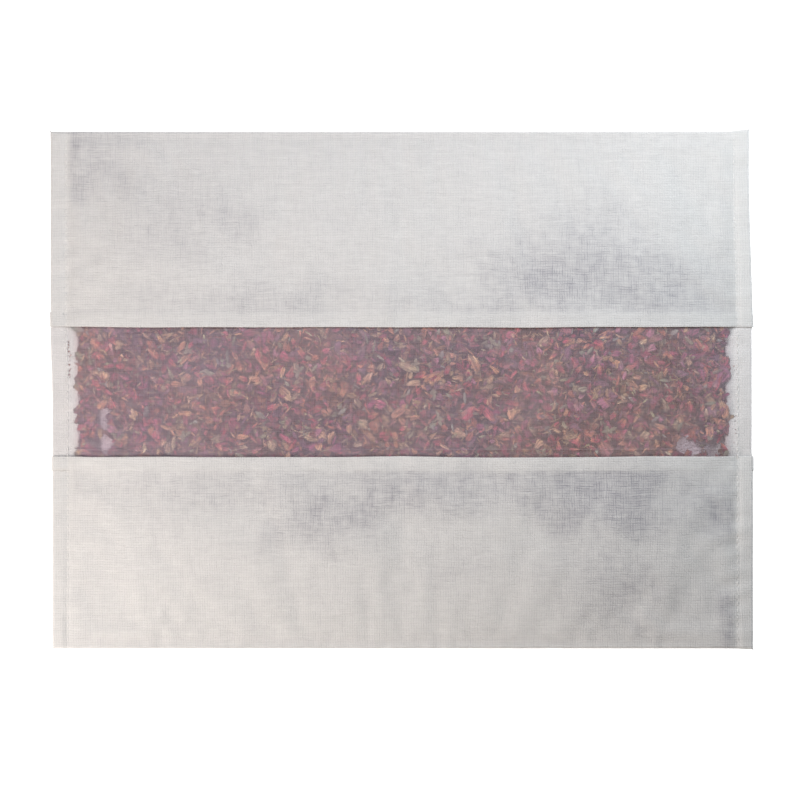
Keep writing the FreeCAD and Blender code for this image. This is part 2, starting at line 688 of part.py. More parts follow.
def main():
    doc = FreeCAD.newDocument("EyePillow")
    sheet = make_sheet(doc)
    crown = Crown(sheet)
    above = number(sheet, "Sheet.window_above")
    below = number(sheet, "Sheet.window_below")
    inset = number(sheet, "Sheet.fold_inset")
    pieces = [
        back_panel(doc),
        front_panel(doc, sheet, crown, "upper_linen_panel", 1, above),
        front_panel(doc, sheet, crown, "lower_linen_panel", -1, below),
        organza_window(doc, sheet, crown),
        topstitch(doc, "left_topstitch", -1),
        topstitch(doc, "right_topstitch", 1),
    ]
    pieces += edge_seams(doc)
    stitch, _ = stitch_body(doc, "StitchBlank")
    doc.recompute()
    pieces.append(window_seam(doc, sheet, crown, "upper_window_seam", stitch, above + inset))
    pieces.append(window_seam(doc, sheet, crown, "lower_window_seam", stitch, -(below + inset)))
    pieces.append(packed_petals(doc, sheet, crown))
    pieces += loose_pieces(doc, sheet, crown)
    doc.recompute()
    check(doc, pieces)
    os.makedirs("parts", exist_ok=True)
    for piece in pieces:
        piece.Shape.exportStep(os.path.join("parts", f"{piece.Label}.step"))


main()
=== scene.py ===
import math

import bpy
import numpy as np
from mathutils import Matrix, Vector


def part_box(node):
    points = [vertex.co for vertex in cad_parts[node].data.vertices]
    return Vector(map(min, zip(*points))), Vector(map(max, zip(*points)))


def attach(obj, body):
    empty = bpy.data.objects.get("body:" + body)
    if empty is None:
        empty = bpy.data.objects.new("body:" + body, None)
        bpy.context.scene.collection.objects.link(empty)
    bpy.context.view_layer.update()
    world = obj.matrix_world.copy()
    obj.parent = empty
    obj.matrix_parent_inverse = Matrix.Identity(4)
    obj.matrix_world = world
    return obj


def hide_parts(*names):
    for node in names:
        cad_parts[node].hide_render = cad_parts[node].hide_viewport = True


# Eye pillow: linen cover, organza window, dried rose petals. Metres, in the CAD frame: the
# pillow lies on its back, +X across its width, +Y towards its top edge, +Z out of its front.

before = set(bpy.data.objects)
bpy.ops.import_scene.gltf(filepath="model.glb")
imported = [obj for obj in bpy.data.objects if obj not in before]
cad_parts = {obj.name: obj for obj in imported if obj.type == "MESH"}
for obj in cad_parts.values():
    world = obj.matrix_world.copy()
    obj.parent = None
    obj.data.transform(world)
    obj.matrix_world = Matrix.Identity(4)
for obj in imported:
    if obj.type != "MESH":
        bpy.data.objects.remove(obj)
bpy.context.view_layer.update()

MM = 0.001
SEED = 20

# --- sizes, worked out from the frame --------------------------------------------------------

upper_low, upper_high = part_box("upper_linen_panel")
_, lower_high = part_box("lower_linen_panel")
_, back_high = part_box("linen_back_panel")
stitch_low, stitch_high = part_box("left_topstitch")
_, fill_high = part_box("packed_petals")

HALF_X = back_high.x
HALF_Y = back_high.y
FOLD_UP = upper_low.y  # the window's two sides
FOLD_DOWN = lower_high.y
TOPSTITCH_X = abs(stitch_low.x + stitch_high.x) / 2
CHAMBER_X = TOPSTITCH_X - 0.6 * MM  # the filled part's half width and half height
CHAMBER_Y = HALF_Y - 1.6 * MM
STITCH_CLEAR = 0.8 * MM
FLANGE_TOP = stitch_high.z - STITCH_CLEAR
FLANGE_LOW = stitch_low.z + STITCH_CLEAR - 0.25 * MM
CROWN = upper_high.z - 0.3 * MM - FLANGE_TOP
HEM = 5.0 * MM  # width of the cloth turned under along the window
FOLD_RADIUS = 0.28 * MM
EDGE_RADIUS = (FLANGE_TOP - FLANGE_LOW) / 2
EDGE_TURN = np.radians([12, 30, 55, 80, 105])  # steps in which linen rolls over an edge
SEAM_Z = FLANGE_LOW + EDGE_RADIUS
LINEN = 0.24 * MM  # the cloth's thickness
THREAD_PITCH = 0.84 * MM
ORGANZA_PITCH = 0.42 * MM
ORGANZA_DROP = 0.66 * MM
STITCH_PITCH = 2.4 * MM
THREAD = 0.34 * MM


# --- smooth random fields --------------------------------------------------------------------


def waves(seed, count, longest, shortest):
    """A smooth random field over x and y, about -1 to 1, from crossing sine waves."""
    rng = np.random.default_rng(seed)
    angles = rng.uniform(0, 2 * math.pi, count)
    lengths = np.geomspace(longest, shortest, count)
    phases = rng.uniform(0, 2 * math.pi, count)

    def field(x, y):
        total = np.zeros(np.broadcast(x, y).shape)
        for angle, length, phase in zip(angles, lengths, phases):
            along = x * math.cos(angle) + y * math.sin(angle)
            total += np.sin(2 * math.pi * along / length + phase)
        return total / math.sqrt(count)

    return field


def smoothstep(edge0, edge1, value):
    t = np.clip((value - edge0) / (edge1 - edge0), 0, 1)
    return t * t * (3 - 2 * t)


def bump_at(value, centre, width):
    return np.exp(-(((value - centre) / width) ** 2))


# --- the shape of the filled cover -----------------------------------------------------------

SIM_STEP = 4.0 * MM
SIM_FRAMES = 24
WRINKLE_SHARE = 0.5  # how much of the simulated cloth's own unevenness is kept


def crown_share(x, y, power=4.0):
    """0 at the chamber's edge, 1 over its middle."""
    across = 1 - np.minimum(1, np.abs(x) / CHAMBER_X) ** power
    along = 1 - np.minimum(1, np.abs(y) / CHAMBER_Y) ** power
    return across * along


def sim_grid():
    columns = 2 * round(CHAMBER_X / SIM_STEP) + 1
    rows = 2 * round(CHAMBER_Y / SIM_STEP) + 1
    xs = np.linspace(-CHAMBER_X, CHAMBER_X, columns)
    ys = np.linspace(-CHAMBER_Y, CHAMBER_Y, rows)
    return xs, ys


def sim_cover(x, y, lift):
    """A closed two-sided cover, half filled, with its rim pinned. The front's points come first."""
    rows, columns = x.shape
    top = np.dstack([x, y, lift * CROWN * 0.55]).reshape(-1, 3)
    bottom = top * (1, 1, -1)
    rim = np.zeros((rows, columns), bool)
    rim[0, :] = rim[-1, :] = rim[:, 0] = rim[:, -1] = True
    inner = np.flatnonzero(~rim.ravel())
    bottom_index = np.arange(rows * columns)
    bottom_index[inner] = rows * columns + np.arange(len(inner))
    faces = []
    for front in grid_faces(rows, columns):
        faces += [front, [int(bottom_index[i]) for i in reversed(front)]]
    mesh = bpy.data.meshes.new("cover_sim")
    mesh.from_pydata(np.vstack([top, bottom[inner]]).tolist(), [], faces)
    cover = bpy.data.objects.new("cover_sim", mesh)
    bpy.context.scene.collection.objects.link(cover)
    pins = cover.vertex_groups.new(name="pins")
    pins.add([int(i) for i in np.flatnonzero(rim)], 1.0, "REPLACE")
    return cover


def inflate(cover):
    """Blows the cover up by cloth simulation, gives its points and removes it."""
    cloth = cover.modifiers.new("Cloth", "CLOTH")
    cloth.settings.quality = 8
    cloth.settings.mass = 0.1
    cloth.settings.tension_stiffness = 12
    cloth.settings.compression_stiffness = 12
    cloth.settings.shear_stiffness = 4
    cloth.settings.bending_stiffness = 0.04
    cloth.settings.vertex_group_mass = "pins"
    cloth.settings.shrink_min = -0.018
    cloth.settings.use_pressure = True
    cloth.settings.uniform_pressure_force = 4
    cloth.settings.effector_weights.gravity = 0
    cloth.collision_settings.use_self_collision = False
    cloth.point_cache.frame_start = 1
    cloth.point_cache.frame_end = SIM_FRAMES
    scene = bpy.context.scene
    for step in range(1, SIM_FRAMES + 1):
        scene.frame_set(step)
    done = cover.evaluated_get(bpy.context.evaluated_depsgraph_get())
    mesh = done.to_mesh()
    points = np.zeros(len(mesh.vertices) * 3)
    mesh.vertices.foreach_get("co", points)
    done.to_mesh_clear()
    bpy.data.objects.remove(cover)
    scene.frame_set(1)
    return points.reshape(-1, 3)


def simulated_front():
    """The filled cover's front, as points on a regular grid. The outline is sewn flat, so the
    cloth gathers along it."""
    xs, ys = sim_grid()
    x, y = np.meshgrid(xs, ys)
    lift = crown_share(x, y)
    smooth = np.dstack([x, y, lift * CROWN])
    points = inflate(sim_cover(x, y, lift))[: x.size].reshape(smooth.shape)
    points[..., 2] *= CROWN / np.percentile(points[..., 2], 99)
    return xs, ys, smooth + (points - smooth) * WRINKLE_SHARE


def resample(values, old, new, axis):
    """Cubic interpolation of a grid along one axis."""
    values = np.moveaxis(values, axis, 0)
    place = (new - old[0]) / (old[1] - old[0])
    base = np.clip(np.floor(place).astype(int), 0, len(old) - 2)
    t = (place - base).reshape(-1, *([1] * (values.ndim - 1)))
    last = len(old) - 1
    p0 = values[np.clip(base - 1, 0, last)]
    p1 = values[base]
    p2 = values[base + 1]
    p3 = values[np.clip(base + 2, 0, last)]
    a = 2 * p1
    b = p2 - p0
    c = 2 * p0 - 5 * p1 + 4 * p2 - p3
    d = 3 * p1 - p0 - 3 * p2 + p3
    result = 0.5 * (a + b * t + c * t**2 + d * t**3)
    return np.moveaxis(result, 0, axis)


class Cover:
    """The front of the filled cover: where any point of the flat cloth ends up."""

    step = 1.0 * MM

    def __init__(self):
        xs, ys, points = simulated_front()
        self.xs = np.arange(-CHAMBER_X, CHAMBER_X + self.step / 2, self.step)
        self.ys = np.arange(-CHAMBER_Y, CHAMBER_Y + self.step / 2, self.step)
        fine = resample(points, ys, np.clip(self.ys, ys[0], ys[-1]), 0)
        fine = resample(fine, xs, np.clip(self.xs, xs[0], xs[-1]), 1)
        x, y = np.meshgrid(self.xs, self.ys)
        self.shift = fine[..., :2] - np.dstack([x, y])
        self.height = fine[..., 2]
        self.lumps = waves(3, 9, 70 * MM, 22 * MM)
        self.small_lumps = waves(4, 11, 18 * MM, 7 * MM)
        self.gathers = waves(5, 7, 11 * MM, 4 * MM)
        self.flange_wave = waves(6, 6, 60 * MM, 14 * MM)

    def sample(self, grid, x, y):
        gx = np.clip((x - self.xs[0]) / self.step, 0, len(self.xs) - 1.001)
        gy = np.clip((y - self.ys[0]) / self.step, 0, len(self.ys) - 1.001)
        ix, iy = gx.astype(int), gy.astype(int)
        tx, ty = gx - ix, gy - iy
        if grid.ndim == 3:
            tx, ty = tx[..., None], ty[..., None]
        low = grid[iy, ix] * (1 - tx) + grid[iy, ix + 1] * tx
        high = grid[iy + 1, ix] * (1 - tx) + grid[iy + 1, ix + 1] * tx
        return low * (1 - ty) + high * ty

    def top(self, x, y):
        """Height of the linen's outer face over a flat point."""
        x, y = np.broadcast_arrays(np.asarray(x, float), np.asarray(y, float))
        inside = crown_share(x, y, 2.5)
        z = FLANGE_TOP + self.sample(self.height, x, y)
        z = z + inside * (0.5 * MM * self.lumps(x, y) + 0.1 * MM * self.small_lumps(x, y))
        from_side = CHAMBER_X - np.abs(x)
        near_side = np.exp(-np.abs(from_side) / (5 * MM))
        z = z + 0.2 * MM * near_side * self.gathers(x * 0.3, y)
        from_edge = CHAMBER_Y - np.abs(y)
        near_edge = np.exp(-np.abs(from_edge) / (4 * MM))
        z = z + 0.1 * MM * near_edge * self.gathers(x, y * 0.3)
        z = z + self.flange_lift(x, y)
        sheer = smoothstep(0, 0.3 * MM, FOLD_UP - y) * smoothstep(0, 0.3 * MM, y - FOLD_DOWN)
        dip = bump_at(np.abs(x), TOPSTITCH_X, 0.9 * MM) * (1 - sheer)
        hole = 0.5 + 0.5 * np.cos(2 * math.pi * y / STITCH_PITCH)
        return z - dip * (0.3 * MM + 0.14 * MM * hole)

    def flange_lift(self, x, y):
        """The side flanges undulate a little along their length. The right one hangs, the left
        one's upper half stands up slightly."""
        outside = smoothstep(0, 3 * MM, np.abs(x) - CHAMBER_X)
        hang = -0.07 - 0.07 * smoothstep(5 * MM, -55 * MM, y)
        stand = 0.075 * smoothstep(-10 * MM, 30 * MM, y) - 0.02
        tilt = np.where(x > 0, hang, stand) * np.clip(np.abs(x) - CHAMBER_X, 0, 1)
        return 0.2 * MM * self.flange_wave(x * 0.2, y) * outside + tilt

    def point(self, x, y, drop=0.0):
        """Where a flat point ends up, at a depth under the linen's outer face."""
        x, y = np.broadcast_arrays(np.asarray(x, float), np.asarray(y, float))
        inside = crown_share(x, y, 2.5)[..., None]
        shift = self.sample(self.shift, x, y) * inside
        z = self.top(x, y) - drop
        return np.stack([x + shift[..., 0], y + shift[..., 1], z], -1)


def on_flange(x):
    """0 over the fill, 1 on the flat side flanges."""
    return smoothstep(-2 * MM, 1.5 * MM, np.abs(x) - CHAMBER_X)


def organza_drop(x, y):
    """How far the organza lies below the linen's outer face."""
    middle = (FOLD_UP + FOLD_DOWN) / 2
    half = (FOLD_UP - FOLD_DOWN) / 2
    belly = np.clip(1 - ((y - middle) / half) ** 2, 0, 1)
    crowned = ORGANZA_DROP - 0.35 * MM * belly
    pressed = 0.29 * MM * smoothstep(9 * MM, 0, y - FOLD_DOWN) * (x < 0)
    pressed = pressed * smoothstep(-0.4 * MM, -0.1 * MM, y - FOLD_DOWN)
    return crowned + (0.36 * MM - pressed - crowned) * on_flange(x)


organza_lumps = waves(8, 14, 12 * MM, 3.5 * MM)
CREASE_Y = FOLD_DOWN + 2.3 * MM
WINDOW_SLIDE = 0.25 * MM  # how far the window's flanges sit to the left of the linen's
ALLOWANCE_X = HALF_X - EDGE_RADIUS - 8.6 * MM


def organza_height(cover, x, y):
    inside = smoothstep(0, 6 * MM, CHAMBER_X - np.abs(x))
    z = cover.top(x, y) - organza_drop(x, y)
    z = z + 0.16 * MM * inside * organza_lumps(x, y)
    return z + 0.22 * MM * inside * bump_at(y, CREASE_Y, 0.25 * MM)


def back_height(x, y):
    """The back panel's outer face: flat on the table, lifting to the seams all round."""
    across = 1 - np.minimum(1, np.abs(x) / CHAMBER_X) ** 9
    along = 1 - np.minimum(1, np.abs(y) / CHAMBER_Y) ** 7
    return FLANGE_LOW * (1 - across * along)


# --- meshes ----------------------------------------------------------------------------------


def settle(points):
    """The pillow lies a little out of square: the right side leans and its corners stick out."""
    x, y, z = points.T
    right = np.clip(x / HALF_X, 0, 1.1)
    left = np.clip(-x / HALF_X, 0, 1.1)
    lean = right * (0.5 - 1.35 * smoothstep(15 * MM, 75 * MM, y)) * MM
    lean = lean - left * 0.65 * MM * smoothstep(-4 * MM, 24 * MM, y)
    ear = smoothstep(HALF_X - 9 * MM, HALF_X, x) * 0.8 * MM
    upper_ear = ear * smoothstep(HALF_Y - 16 * MM, HALF_Y, y)
    lower_ear = 0.4 * ear * smoothstep(HALF_Y - 16 * MM, HALF_Y, -y)
    return np.column_stack([x + lean, y * 1.002 + (upper_ear - lower_ear), z])


def new_piece(name, verts, faces):
    mesh = bpy.data.meshes.new(name)
    mesh.from_pydata(settle(np.asarray(verts, float).reshape(-1, 3)).tolist(), [], faces)
    mesh.update()
    mesh.shade_smooth()
    piece = bpy.data.objects.new(name, mesh)
    bpy.context.scene.collection.objects.link(piece)
    return piece


def grid_faces(rows, columns, flip=False):
    r, c = np.meshgrid(np.arange(rows - 1), np.arange(columns - 1), indexing="ij")
    a = (r * columns + c).ravel()
    quads = np.column_stack([a, a + 1, a + columns + 1, a + columns])
    return (quads[:, ::-1] if flip else quads).tolist()


def closed_faces(rows, columns):
    """Faces of a closed slab: an upper grid, then a lower one, joined round their outline."""
    upper = grid_faces(rows, columns)
    size = rows * columns
    faces = upper + [[i + size for i in reversed(face)] for face in upper]
    ring = list(range(columns)) + [r * columns + columns - 1 for r in range(1, rows)]
    ring += list(range(size - 2, size - columns - 1, -1))
    ring += [r * columns for r in range(rows - 2, 0, -1)]
    for a, b in zip(ring, ring[1:] + ring[:1]):
        faces.append((b, a, a + size, b + size))
    return faces


def tube_faces(rings, sides, base=0):
    """Faces of a closed tube, from rings of points that follow each other."""
    faces = []
    for first in range(base, base + (rings - 1) * sides, sides):
        for k in range(sides):
            a, b = first + k, first + (k + 1) % sides
            faces.append((a, b, b + sides, a + sides))
    last = base + (rings - 1) * sides
    return faces + [tuple(reversed(range(base, base + sides))), tuple(range(last, last + sides))]


def thicken(piece):
    """Gives a sheet of linen its thickness, inwards from its outer face."""
    modifier = piece.modifiers.new("Cloth thickness", "SOLIDIFY")
    modifier.thickness = LINEN
    modifier.offset = -1.0


def set_float(piece, name, values):
    attribute = piece.data.attributes.new(name, "FLOAT", "POINT")
    attribute.data.foreach_set("value", np.asarray(values, np.float32).ravel())


def set_colour(piece, name, colours):
    attribute = piece.data.attributes.new(name, "FLOAT_COLOR", "POINT")
    rgba = np.column_stack([colours, np.ones(len(colours))])
    attribute.data.foreach_set("color", rgba.astype(np.float32).ravel())


def set_vector(piece, name, vectors):
    attribute = piece.data.attributes.new(name, "FLOAT_VECTOR", "POINT")
    attribute.data.foreach_set("vector", vectors.astype(np.float32).ravel())


def spread(start, end, step):
    return np.linspace(start, end, max(2, round(abs(end - start) / step) + 1))


def finish_piece(piece, material, slot, *nodes):
    piece.data.materials.append(material)
    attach(piece, "root")
    if nodes:
        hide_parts(*nodes)
    return piece


# --- material graphs -------------------------------------------------------------------------


class Value:
    """An output of a shader node, for use in plain arithmetic."""

    def __init__(self, graph, socket):
        self.graph = graph
        self.socket = socket

    def __add__(self, other):
        return self.graph.math("ADD", self, other)

    def __sub__(self, other):
        return self.graph.math("SUBTRACT", self, other)

    def __rsub__(self, other):
        return self.graph.math("SUBTRACT", other, self)

    def __mul__(self, other):
        return self.graph.math("MULTIPLY", self, other)

    def __truediv__(self, other):
        return self.graph.math("DIVIDE", self, other)

    __radd__ = __add__
    __rmul__ = __mul__

    def clamped(self):
        """The same value, kept between 0 and 1."""
        self.socket.node.use_clamp = True
        return self


class Graph:
    """A small helper for node materials. Inputs are values or plain numbers."""

    def __init__(self, name):
        self.material = bpy.data.materials.new(name)
        self.material.use_nodes = True
        self.tree = self.material.node_tree
        self.tree.nodes.clear()
        self.output = self.node("ShaderNodeOutputMaterial", {})

    def node(self, kind, inputs, **settings):
        node = self.tree.nodes.new(kind)
        for key, setting in settings.items():
            setattr(node, key, setting)
        for key, value in inputs.items():
            self.feed(node.inputs[key], value)
        return node

    def value(self, kind, inputs, output=0, **settings):
        """Adds a node and gives one of its outputs."""
        return Value(self, self.node(kind, inputs, **settings).outputs[output])

    def feed(self, socket, value):
        if isinstance(value, Value):
            self.tree.links.new(value.socket, socket)
        elif socket.type == "RGBA":
            socket.default_value = (*value, 1.0)
        else:
            socket.default_value = value

    def math(self, operation, *values):
        return self.value("ShaderNodeMath", dict(enumerate(values)), operation=operation)

    def mix(self, factor, a, b, blend="MIX"):
        inputs = {0: factor, 6: a, 7: b}
        return self.value("ShaderNodeMix", inputs, 2, data_type="RGBA", blend_type=blend)

    def tinted(self, colour, light):
        """A colour, made lighter or darker by a value."""
        grey = self.value("ShaderNodeCombineColor", {0: light, 1: light, 2: light})
        return self.mix(1.0, colour, grey, "MULTIPLY")

    def vector(self, x, y, z=0.0):
        return self.value("ShaderNodeCombineXYZ", {0: x, 1: y, 2: z})

    def shifted(self, vector, by):
        return self.value("ShaderNodeVectorMath", {0: vector, 1: by}, operation="ADD")

    def noise(self, vector, scale, detail=2.0, rough=0.5, output=0):
        inputs = {"Vector": vector, "Scale": scale, "Detail": detail, "Roughness": rough}
        return self.value("ShaderNodeTexNoise", inputs, output)

    def ramp_to(self, factor, low, high, to_low=0.0, to_high=1.0):
        inputs = {"Value": factor, "From Min": low, "From Max": high}
        inputs.update({"To Min": to_low, "To Max": to_high})
        return self.value("ShaderNodeMapRange", inputs)

    def attribute(self, name, output="Fac"):
        return self.value("ShaderNodeAttribute", {}, output, attribute_name=name)

    def place(self):
        """The point's place in the object's frame, in metres."""
        return self.value("ShaderNodeTexCoord", {}, "Object")

    def position(self):
        split = self.node("ShaderNodeSeparateXYZ", {0: self.place()})
        return [Value(self, output) for output in split.outputs]

    def bump(self, height, distance, strength, **below):
        inputs = {"Height": height, "Distance": distance, "Strength": strength}
        return self.value("ShaderNodeBump", inputs | below)

    def principled(self, **inputs):
        inputs = {key.replace("_", " "): value for key, value in inputs.items()}
        return self.value("ShaderNodeBsdfPrincipled", inputs)

    def surface(self, shader):
        self.feed(self.output.inputs["Surface"], shader)
        return self.material


def weave(g, x, y, pitch, wobble, run):
    """A plain weave of uneven, slubby threads. Gives its relief, the slits that open here and
    there between two threads, and how light each thread is along its length. run is how far a
    thread goes before it changes."""
    wave_x = g.noise(g.vector(x, y), 130)
    wave_y = g.noise(g.vector(x + 7.3, y), 110)
    u = (x + (wave_x - 0.5) * wobble) / pitch
    v = (y + (wave_y - 0.5) * wobble) / pitch
    x_run, y_run = x / run, y / run

    def slit(place, along, seed, turned):
        gap = g.math("ROUND", place)
        key = gap * 3.71
        where = g.vector(key, along, seed) if turned else g.vector(along, key, seed)
        opening = g.ramp_to(g.noise(where, 1.0, 3), 0.36, 0.70, 0.06, 1.0)
        reach = opening * 0.18 + 0.10
        line = 1.0 - g.math("ABSOLUTE", place - gap) / reach
        return line.clamped() * opening

    def thread(place):
        """How high a thread's round back is across its width."""
        return g.math("SINE", g.math("FRACT", place) * math.pi)

    slits = g.math("MAXIMUM", slit(u, y_run, 9.5, True), slit(v, x_run, 0.5, False))
    warp, weft = g.math("FLOOR", u), g.math("FLOOR", v)
    odd = g.math("MODULO", g.math("ABSOLUTE", warp + weft), 2.0)
    weft_height = thread(v) * (odd * 0.45 + 0.55)
    warp_height = thread(u) * (1.0 - odd * 0.45)
    height = g.math("MAXIMUM", weft_height, warp_height) - slits * 0.6
    weft_slub = g.noise(g.vector(x_run * 0.45, weft * 2.9, 4.4), 1.0)
    warp_slub = g.noise(g.vector(y_run * 0.4, warp * 2.3, 6.1), 1.0)
    return height, slits, weft_slub * 0.6 + warp_slub * 0.4


LINEN_COLOUR = (0.80, 0.785, 0.765)
SMUDGE_COLOUR = (0.34, 0.33, 0.37)


def linen_material():
    """Off-white slubby linen. The point value "show" says how much the fill shows through."""
    g = Graph("linen")
    x, y, _ = g.position()
    flat = g.vector(x, y)
    height, slits, streak = weave(g, x, y, THREAD_PITCH, 1.3 * MM, 3.2 * MM)
    cloudy = g.noise(flat, 45, 3)
    # The 0.035 * height term is painted shade: each thread's raised back is lighter and the hollows
    # between threads darker, following the weave's relief.
    light = 0.962 + 0.035 * height - 0.03 * slits
    light = light + 0.20 * (streak - 0.5) + 0.04 * (cloudy - 0.5)
    through = 0.44 + 0.62 * slits + 0.9 * (0.5 - streak)
    through = (through * g.attribute("show")).clamped()
    colour = g.mix(through, g.tinted(LINEN_COLOUR, light), SMUDGE_COLOUR)
    threads = g.bump(height, 0.16 * MM, 0.55)
    fuzz = g.bump(g.noise(flat, 2600), 0.03 * MM, 0.4, Normal=threads)
    return g.surface(
        g.principled(Base_Color=colour, Roughness=0.9, Normal=fuzz, Sheen_Weight=0.15)
    )


def thread_material():
    """Sewing thread with its twist, and painted shade in the twist's grooves."""
    g = Graph("thread")
    x, y, z = g.position()
    twist = g.math("SINE", (y + (x + z)) * 9000.0)
    # The tone follows the twist's relief: painted shade in the grooves between the plies, lighter on
    # their ridges.
    tone = 0.86 + 0.05 * twist
    colour = g.value("ShaderNodeCombineColor", {0: tone, 1: tone * 0.98, 2: tone * 0.95})
    relief = g.bump(twist, 0.05 * MM, 0.6)
    return g.surface(
        g.principled(Base_Color=colour, Roughness=0.6, Normal=relief, Sheen_Weight=0.2)
    )


def organza_material():
    """Sheer organza: a lilac-grey veil of fine threads over whatever lies under it. The point
    value "veil" scales how much it covers, "crease" adds to that, and "beside" is 1 where no
    petals lie under it and it looks neutral."""
    g = Graph("organza")
    x, y, _ = g.position()
    height, slits, streak = weave(g, x, y, ORGANZA_PITCH, 0.3 * MM, 4 * MM)
    cover = 0.295 - 0.10 * slits + 0.14 * (streak - 0.5)
    cover = (cover + 0.03 * g.attribute("crease")).clamped()
    haze = g.noise(g.vector(x, y), 34)
    cover = (cover + 0.16 * (haze - 0.5)) * g.attribute("veil")
    patch = g.noise(g.vector(x + 1.7, y), 30, 1)
    hue = g.ramp_to(patch + 0.8 * x, 0.35, 0.65)
    lilac = g.mix(hue, (0.70, 0.575, 0.675), (0.775, 0.595, 0.615))
    beside = g.attribute("beside")
    colour = g.mix(beside, lilac, (0.765, 0.75, 0.765))
    normal = g.bump(height, 0.05 * MM, 0.4)
    front = g.principled(Base_Color=colour, Roughness=0.5, Normal=normal, Sheen_Weight=0.2)
    lit_through = {"Color": (0.34, 0.30, 0.32), "Normal": normal}
    back = g.value("ShaderNodeBsdfTranslucent", lit_through)
    threads = g.value("ShaderNodeAddShader", {0: front, 1: back})
    filtered = g.mix(beside, (1.0, 0.96, 0.965), (0.985, 0.985, 0.985))
    clear = g.value("ShaderNodeBsdfTransparent", {"Color": filtered})
    return g.surface(g.value("ShaderNodeMixShader", {0: cover, 1: clear, 2: threads}))


def petal_material(name, vein=0.60):
    """Dried plant matter. Each point carries its own colour; veins and crumples are added, in the
    relief and as painted shade in the colour.
    """
    g = Graph(name)
    place = g.place()
    tint = g.attribute("tint", "Color")
    lines = g.noise(g.attribute("veins", "Vector"), 2600, 2, 0.6)
    broad = g.noise(place, 620, 3)
    # The vein lines and broad crumples that make the bump also lighten and darken the colour: painted
    # shade of that relief, and along the veins also the petal's own markings.
    light = g.ramp_to(lines, 0.36, 0.64, -vein, vein)
    light = light + g.ramp_to(broad, 0.3, 0.7, 1.0 - 0.38 * vein, 1.0 + 0.38 * vein)
    faded = g.ramp_to(g.noise(place, 380, 1), 0.42, 0.62, 0.0, 0.45)
    tint = g.mix(faded, tint, g.mix(1.0, tint, (1.15, 1.5, 1.15), "MULTIPLY"))
    shader = g.principled(
        Base_Color=g.tinted(tint, light),
        Roughness=0.62,
        Normal=g.bump(lines + broad, 0.25 * MM, 0.7),
        Sheen_Weight=0.2,
        Specular_IOR_Level=0.3,
    )
    return g.surface(shader)


def fill_material():
    """The settled fill: a mat of crushed petals, each patch with its own hue and crumples, and
    painted shade in the crumples and between the patches. The point value "bare" is 1 where it
    is worn thin and the back panel shows."""
    g = Graph("packed_fill")
    place = g.place()
    bend = g.shifted(g.noise(place, 260.0, output="Color"), (-0.5, -0.5, -0.5))
    bend = g.value("ShaderNodeVectorMath", {0: bend, "Scale": 4.5 * MM}, operation="SCALE")
    place = g.shifted(place, bend)
    cells = {"Vector": place, "Scale": 420.0}
    own = g.value("ShaderNodeTexVoronoi", cells, "Color")
    edge = g.value("ShaderNodeTexVoronoi", cells, "Distance", feature="DISTANCE_TO_EDGE")
    split = g.node("ShaderNodeSeparateColor", {0: own})
    hue, amber, olive = [Value(g, output) for output in split.outputs]
    shade = g.mix(hue, (0.24, 0.030, 0.060), (0.36, 0.070, 0.06))
    shade = g.mix(g.ramp_to(amber, 0.62, 0.66), shade, (0.40, 0.17, 0.09))
    shade = g.mix(g.ramp_to(olive, 0.80, 0.84), shade, (0.17, 0.10, 0.08))
    # Painted shade: each patch darkens towards its edge, where the crushed petals meet, and the crumple
    # noise that also makes the bump lightens and darkens both the petals and the bare cloth.
    crumple = g.noise(place, 1500, 3)
    gap = g.ramp_to(edge, 0.0, 0.14, 0.35, 1.0)
    petals_colour = g.tinted(shade, (0.30 + 1.3 * crumple) * gap)
    cloth = g.mix(crumple, (0.62, 0.57, 0.62), (0.80, 0.76, 0.80))
    colour = g.mix(g.ramp_to(g.attribute("bare"), 0.35, 0.6), petals_colour, cloth)
    relief = g.bump(gap + crumple, 0.5 * MM, 0.8)
    return g.surface(g.principled(Base_Color=colour, Roughness=0.8, Normal=relief))


# --- how the fill shows through the linen ----------------------------------------------------

# Where the fill presses up against the linen: centre x, y, reach x, y, turn in degrees, and
# strength. Millimetres in the object's frame.
SMUDGES = (
    (-106, 78, 17, 11, 0, 0.55),
    (-80, 58, 20, 12, 0, 0.30),
    (-57, 58, 11, 9, 0, 0.22),
    (-46, 29, 46, 8, 0, 0.32),
    (62, 42, 34, 17, 0, 0.34),
    (86, 33, 34, 13, -12, 0.42),
    (64, 61, 12, 8, 0, 0.14),
    (34, 26, 30, 6, 0, 0.16),
    (40, 34, 26, 10, 20, 0.30),
    (-48, -33, 66, 9, 0, 0.34),
    (-20, -42, 28, 8, 18, 0.48),
    (74, -33, 13, 12, 0, 0.75),
    (52, -34, 30, 8, 0, 0.35),
    (92, -38, 20, 12, 0, 0.35),
    (55, -44, 8, 4, 10, 0.40),
    (110, -42, 7, 10, 0, 0.50),
    (74, -68, 20, 15, -10, 0.45),
    (112, -80, 7, 9, 0, 0.75),
    (17, -60, 12, 8, 20, 0.16),
    (-80, -47, 14, 8, 0, 0.10),
    (-18, -50, 18, 7, 0, 0.14),
    (63, -45, 9, 8, 0, 0.28),
    (28, -28, 30, 5, 0, 0.30),
    (2, -27, 14, 5, 0, 0.20),
    (76, -27, 24, 4, 0, 0.24),
    (30, -38, 60, 8, 0, 0.22),
)
smudge_break = waves(9, 12, 30 * MM, 5 * MM)
smudge_warp = waves(10, 6, 40 * MM, 16 * MM)
smudge_patch = waves(11, 14, 9 * MM, 3 * MM)


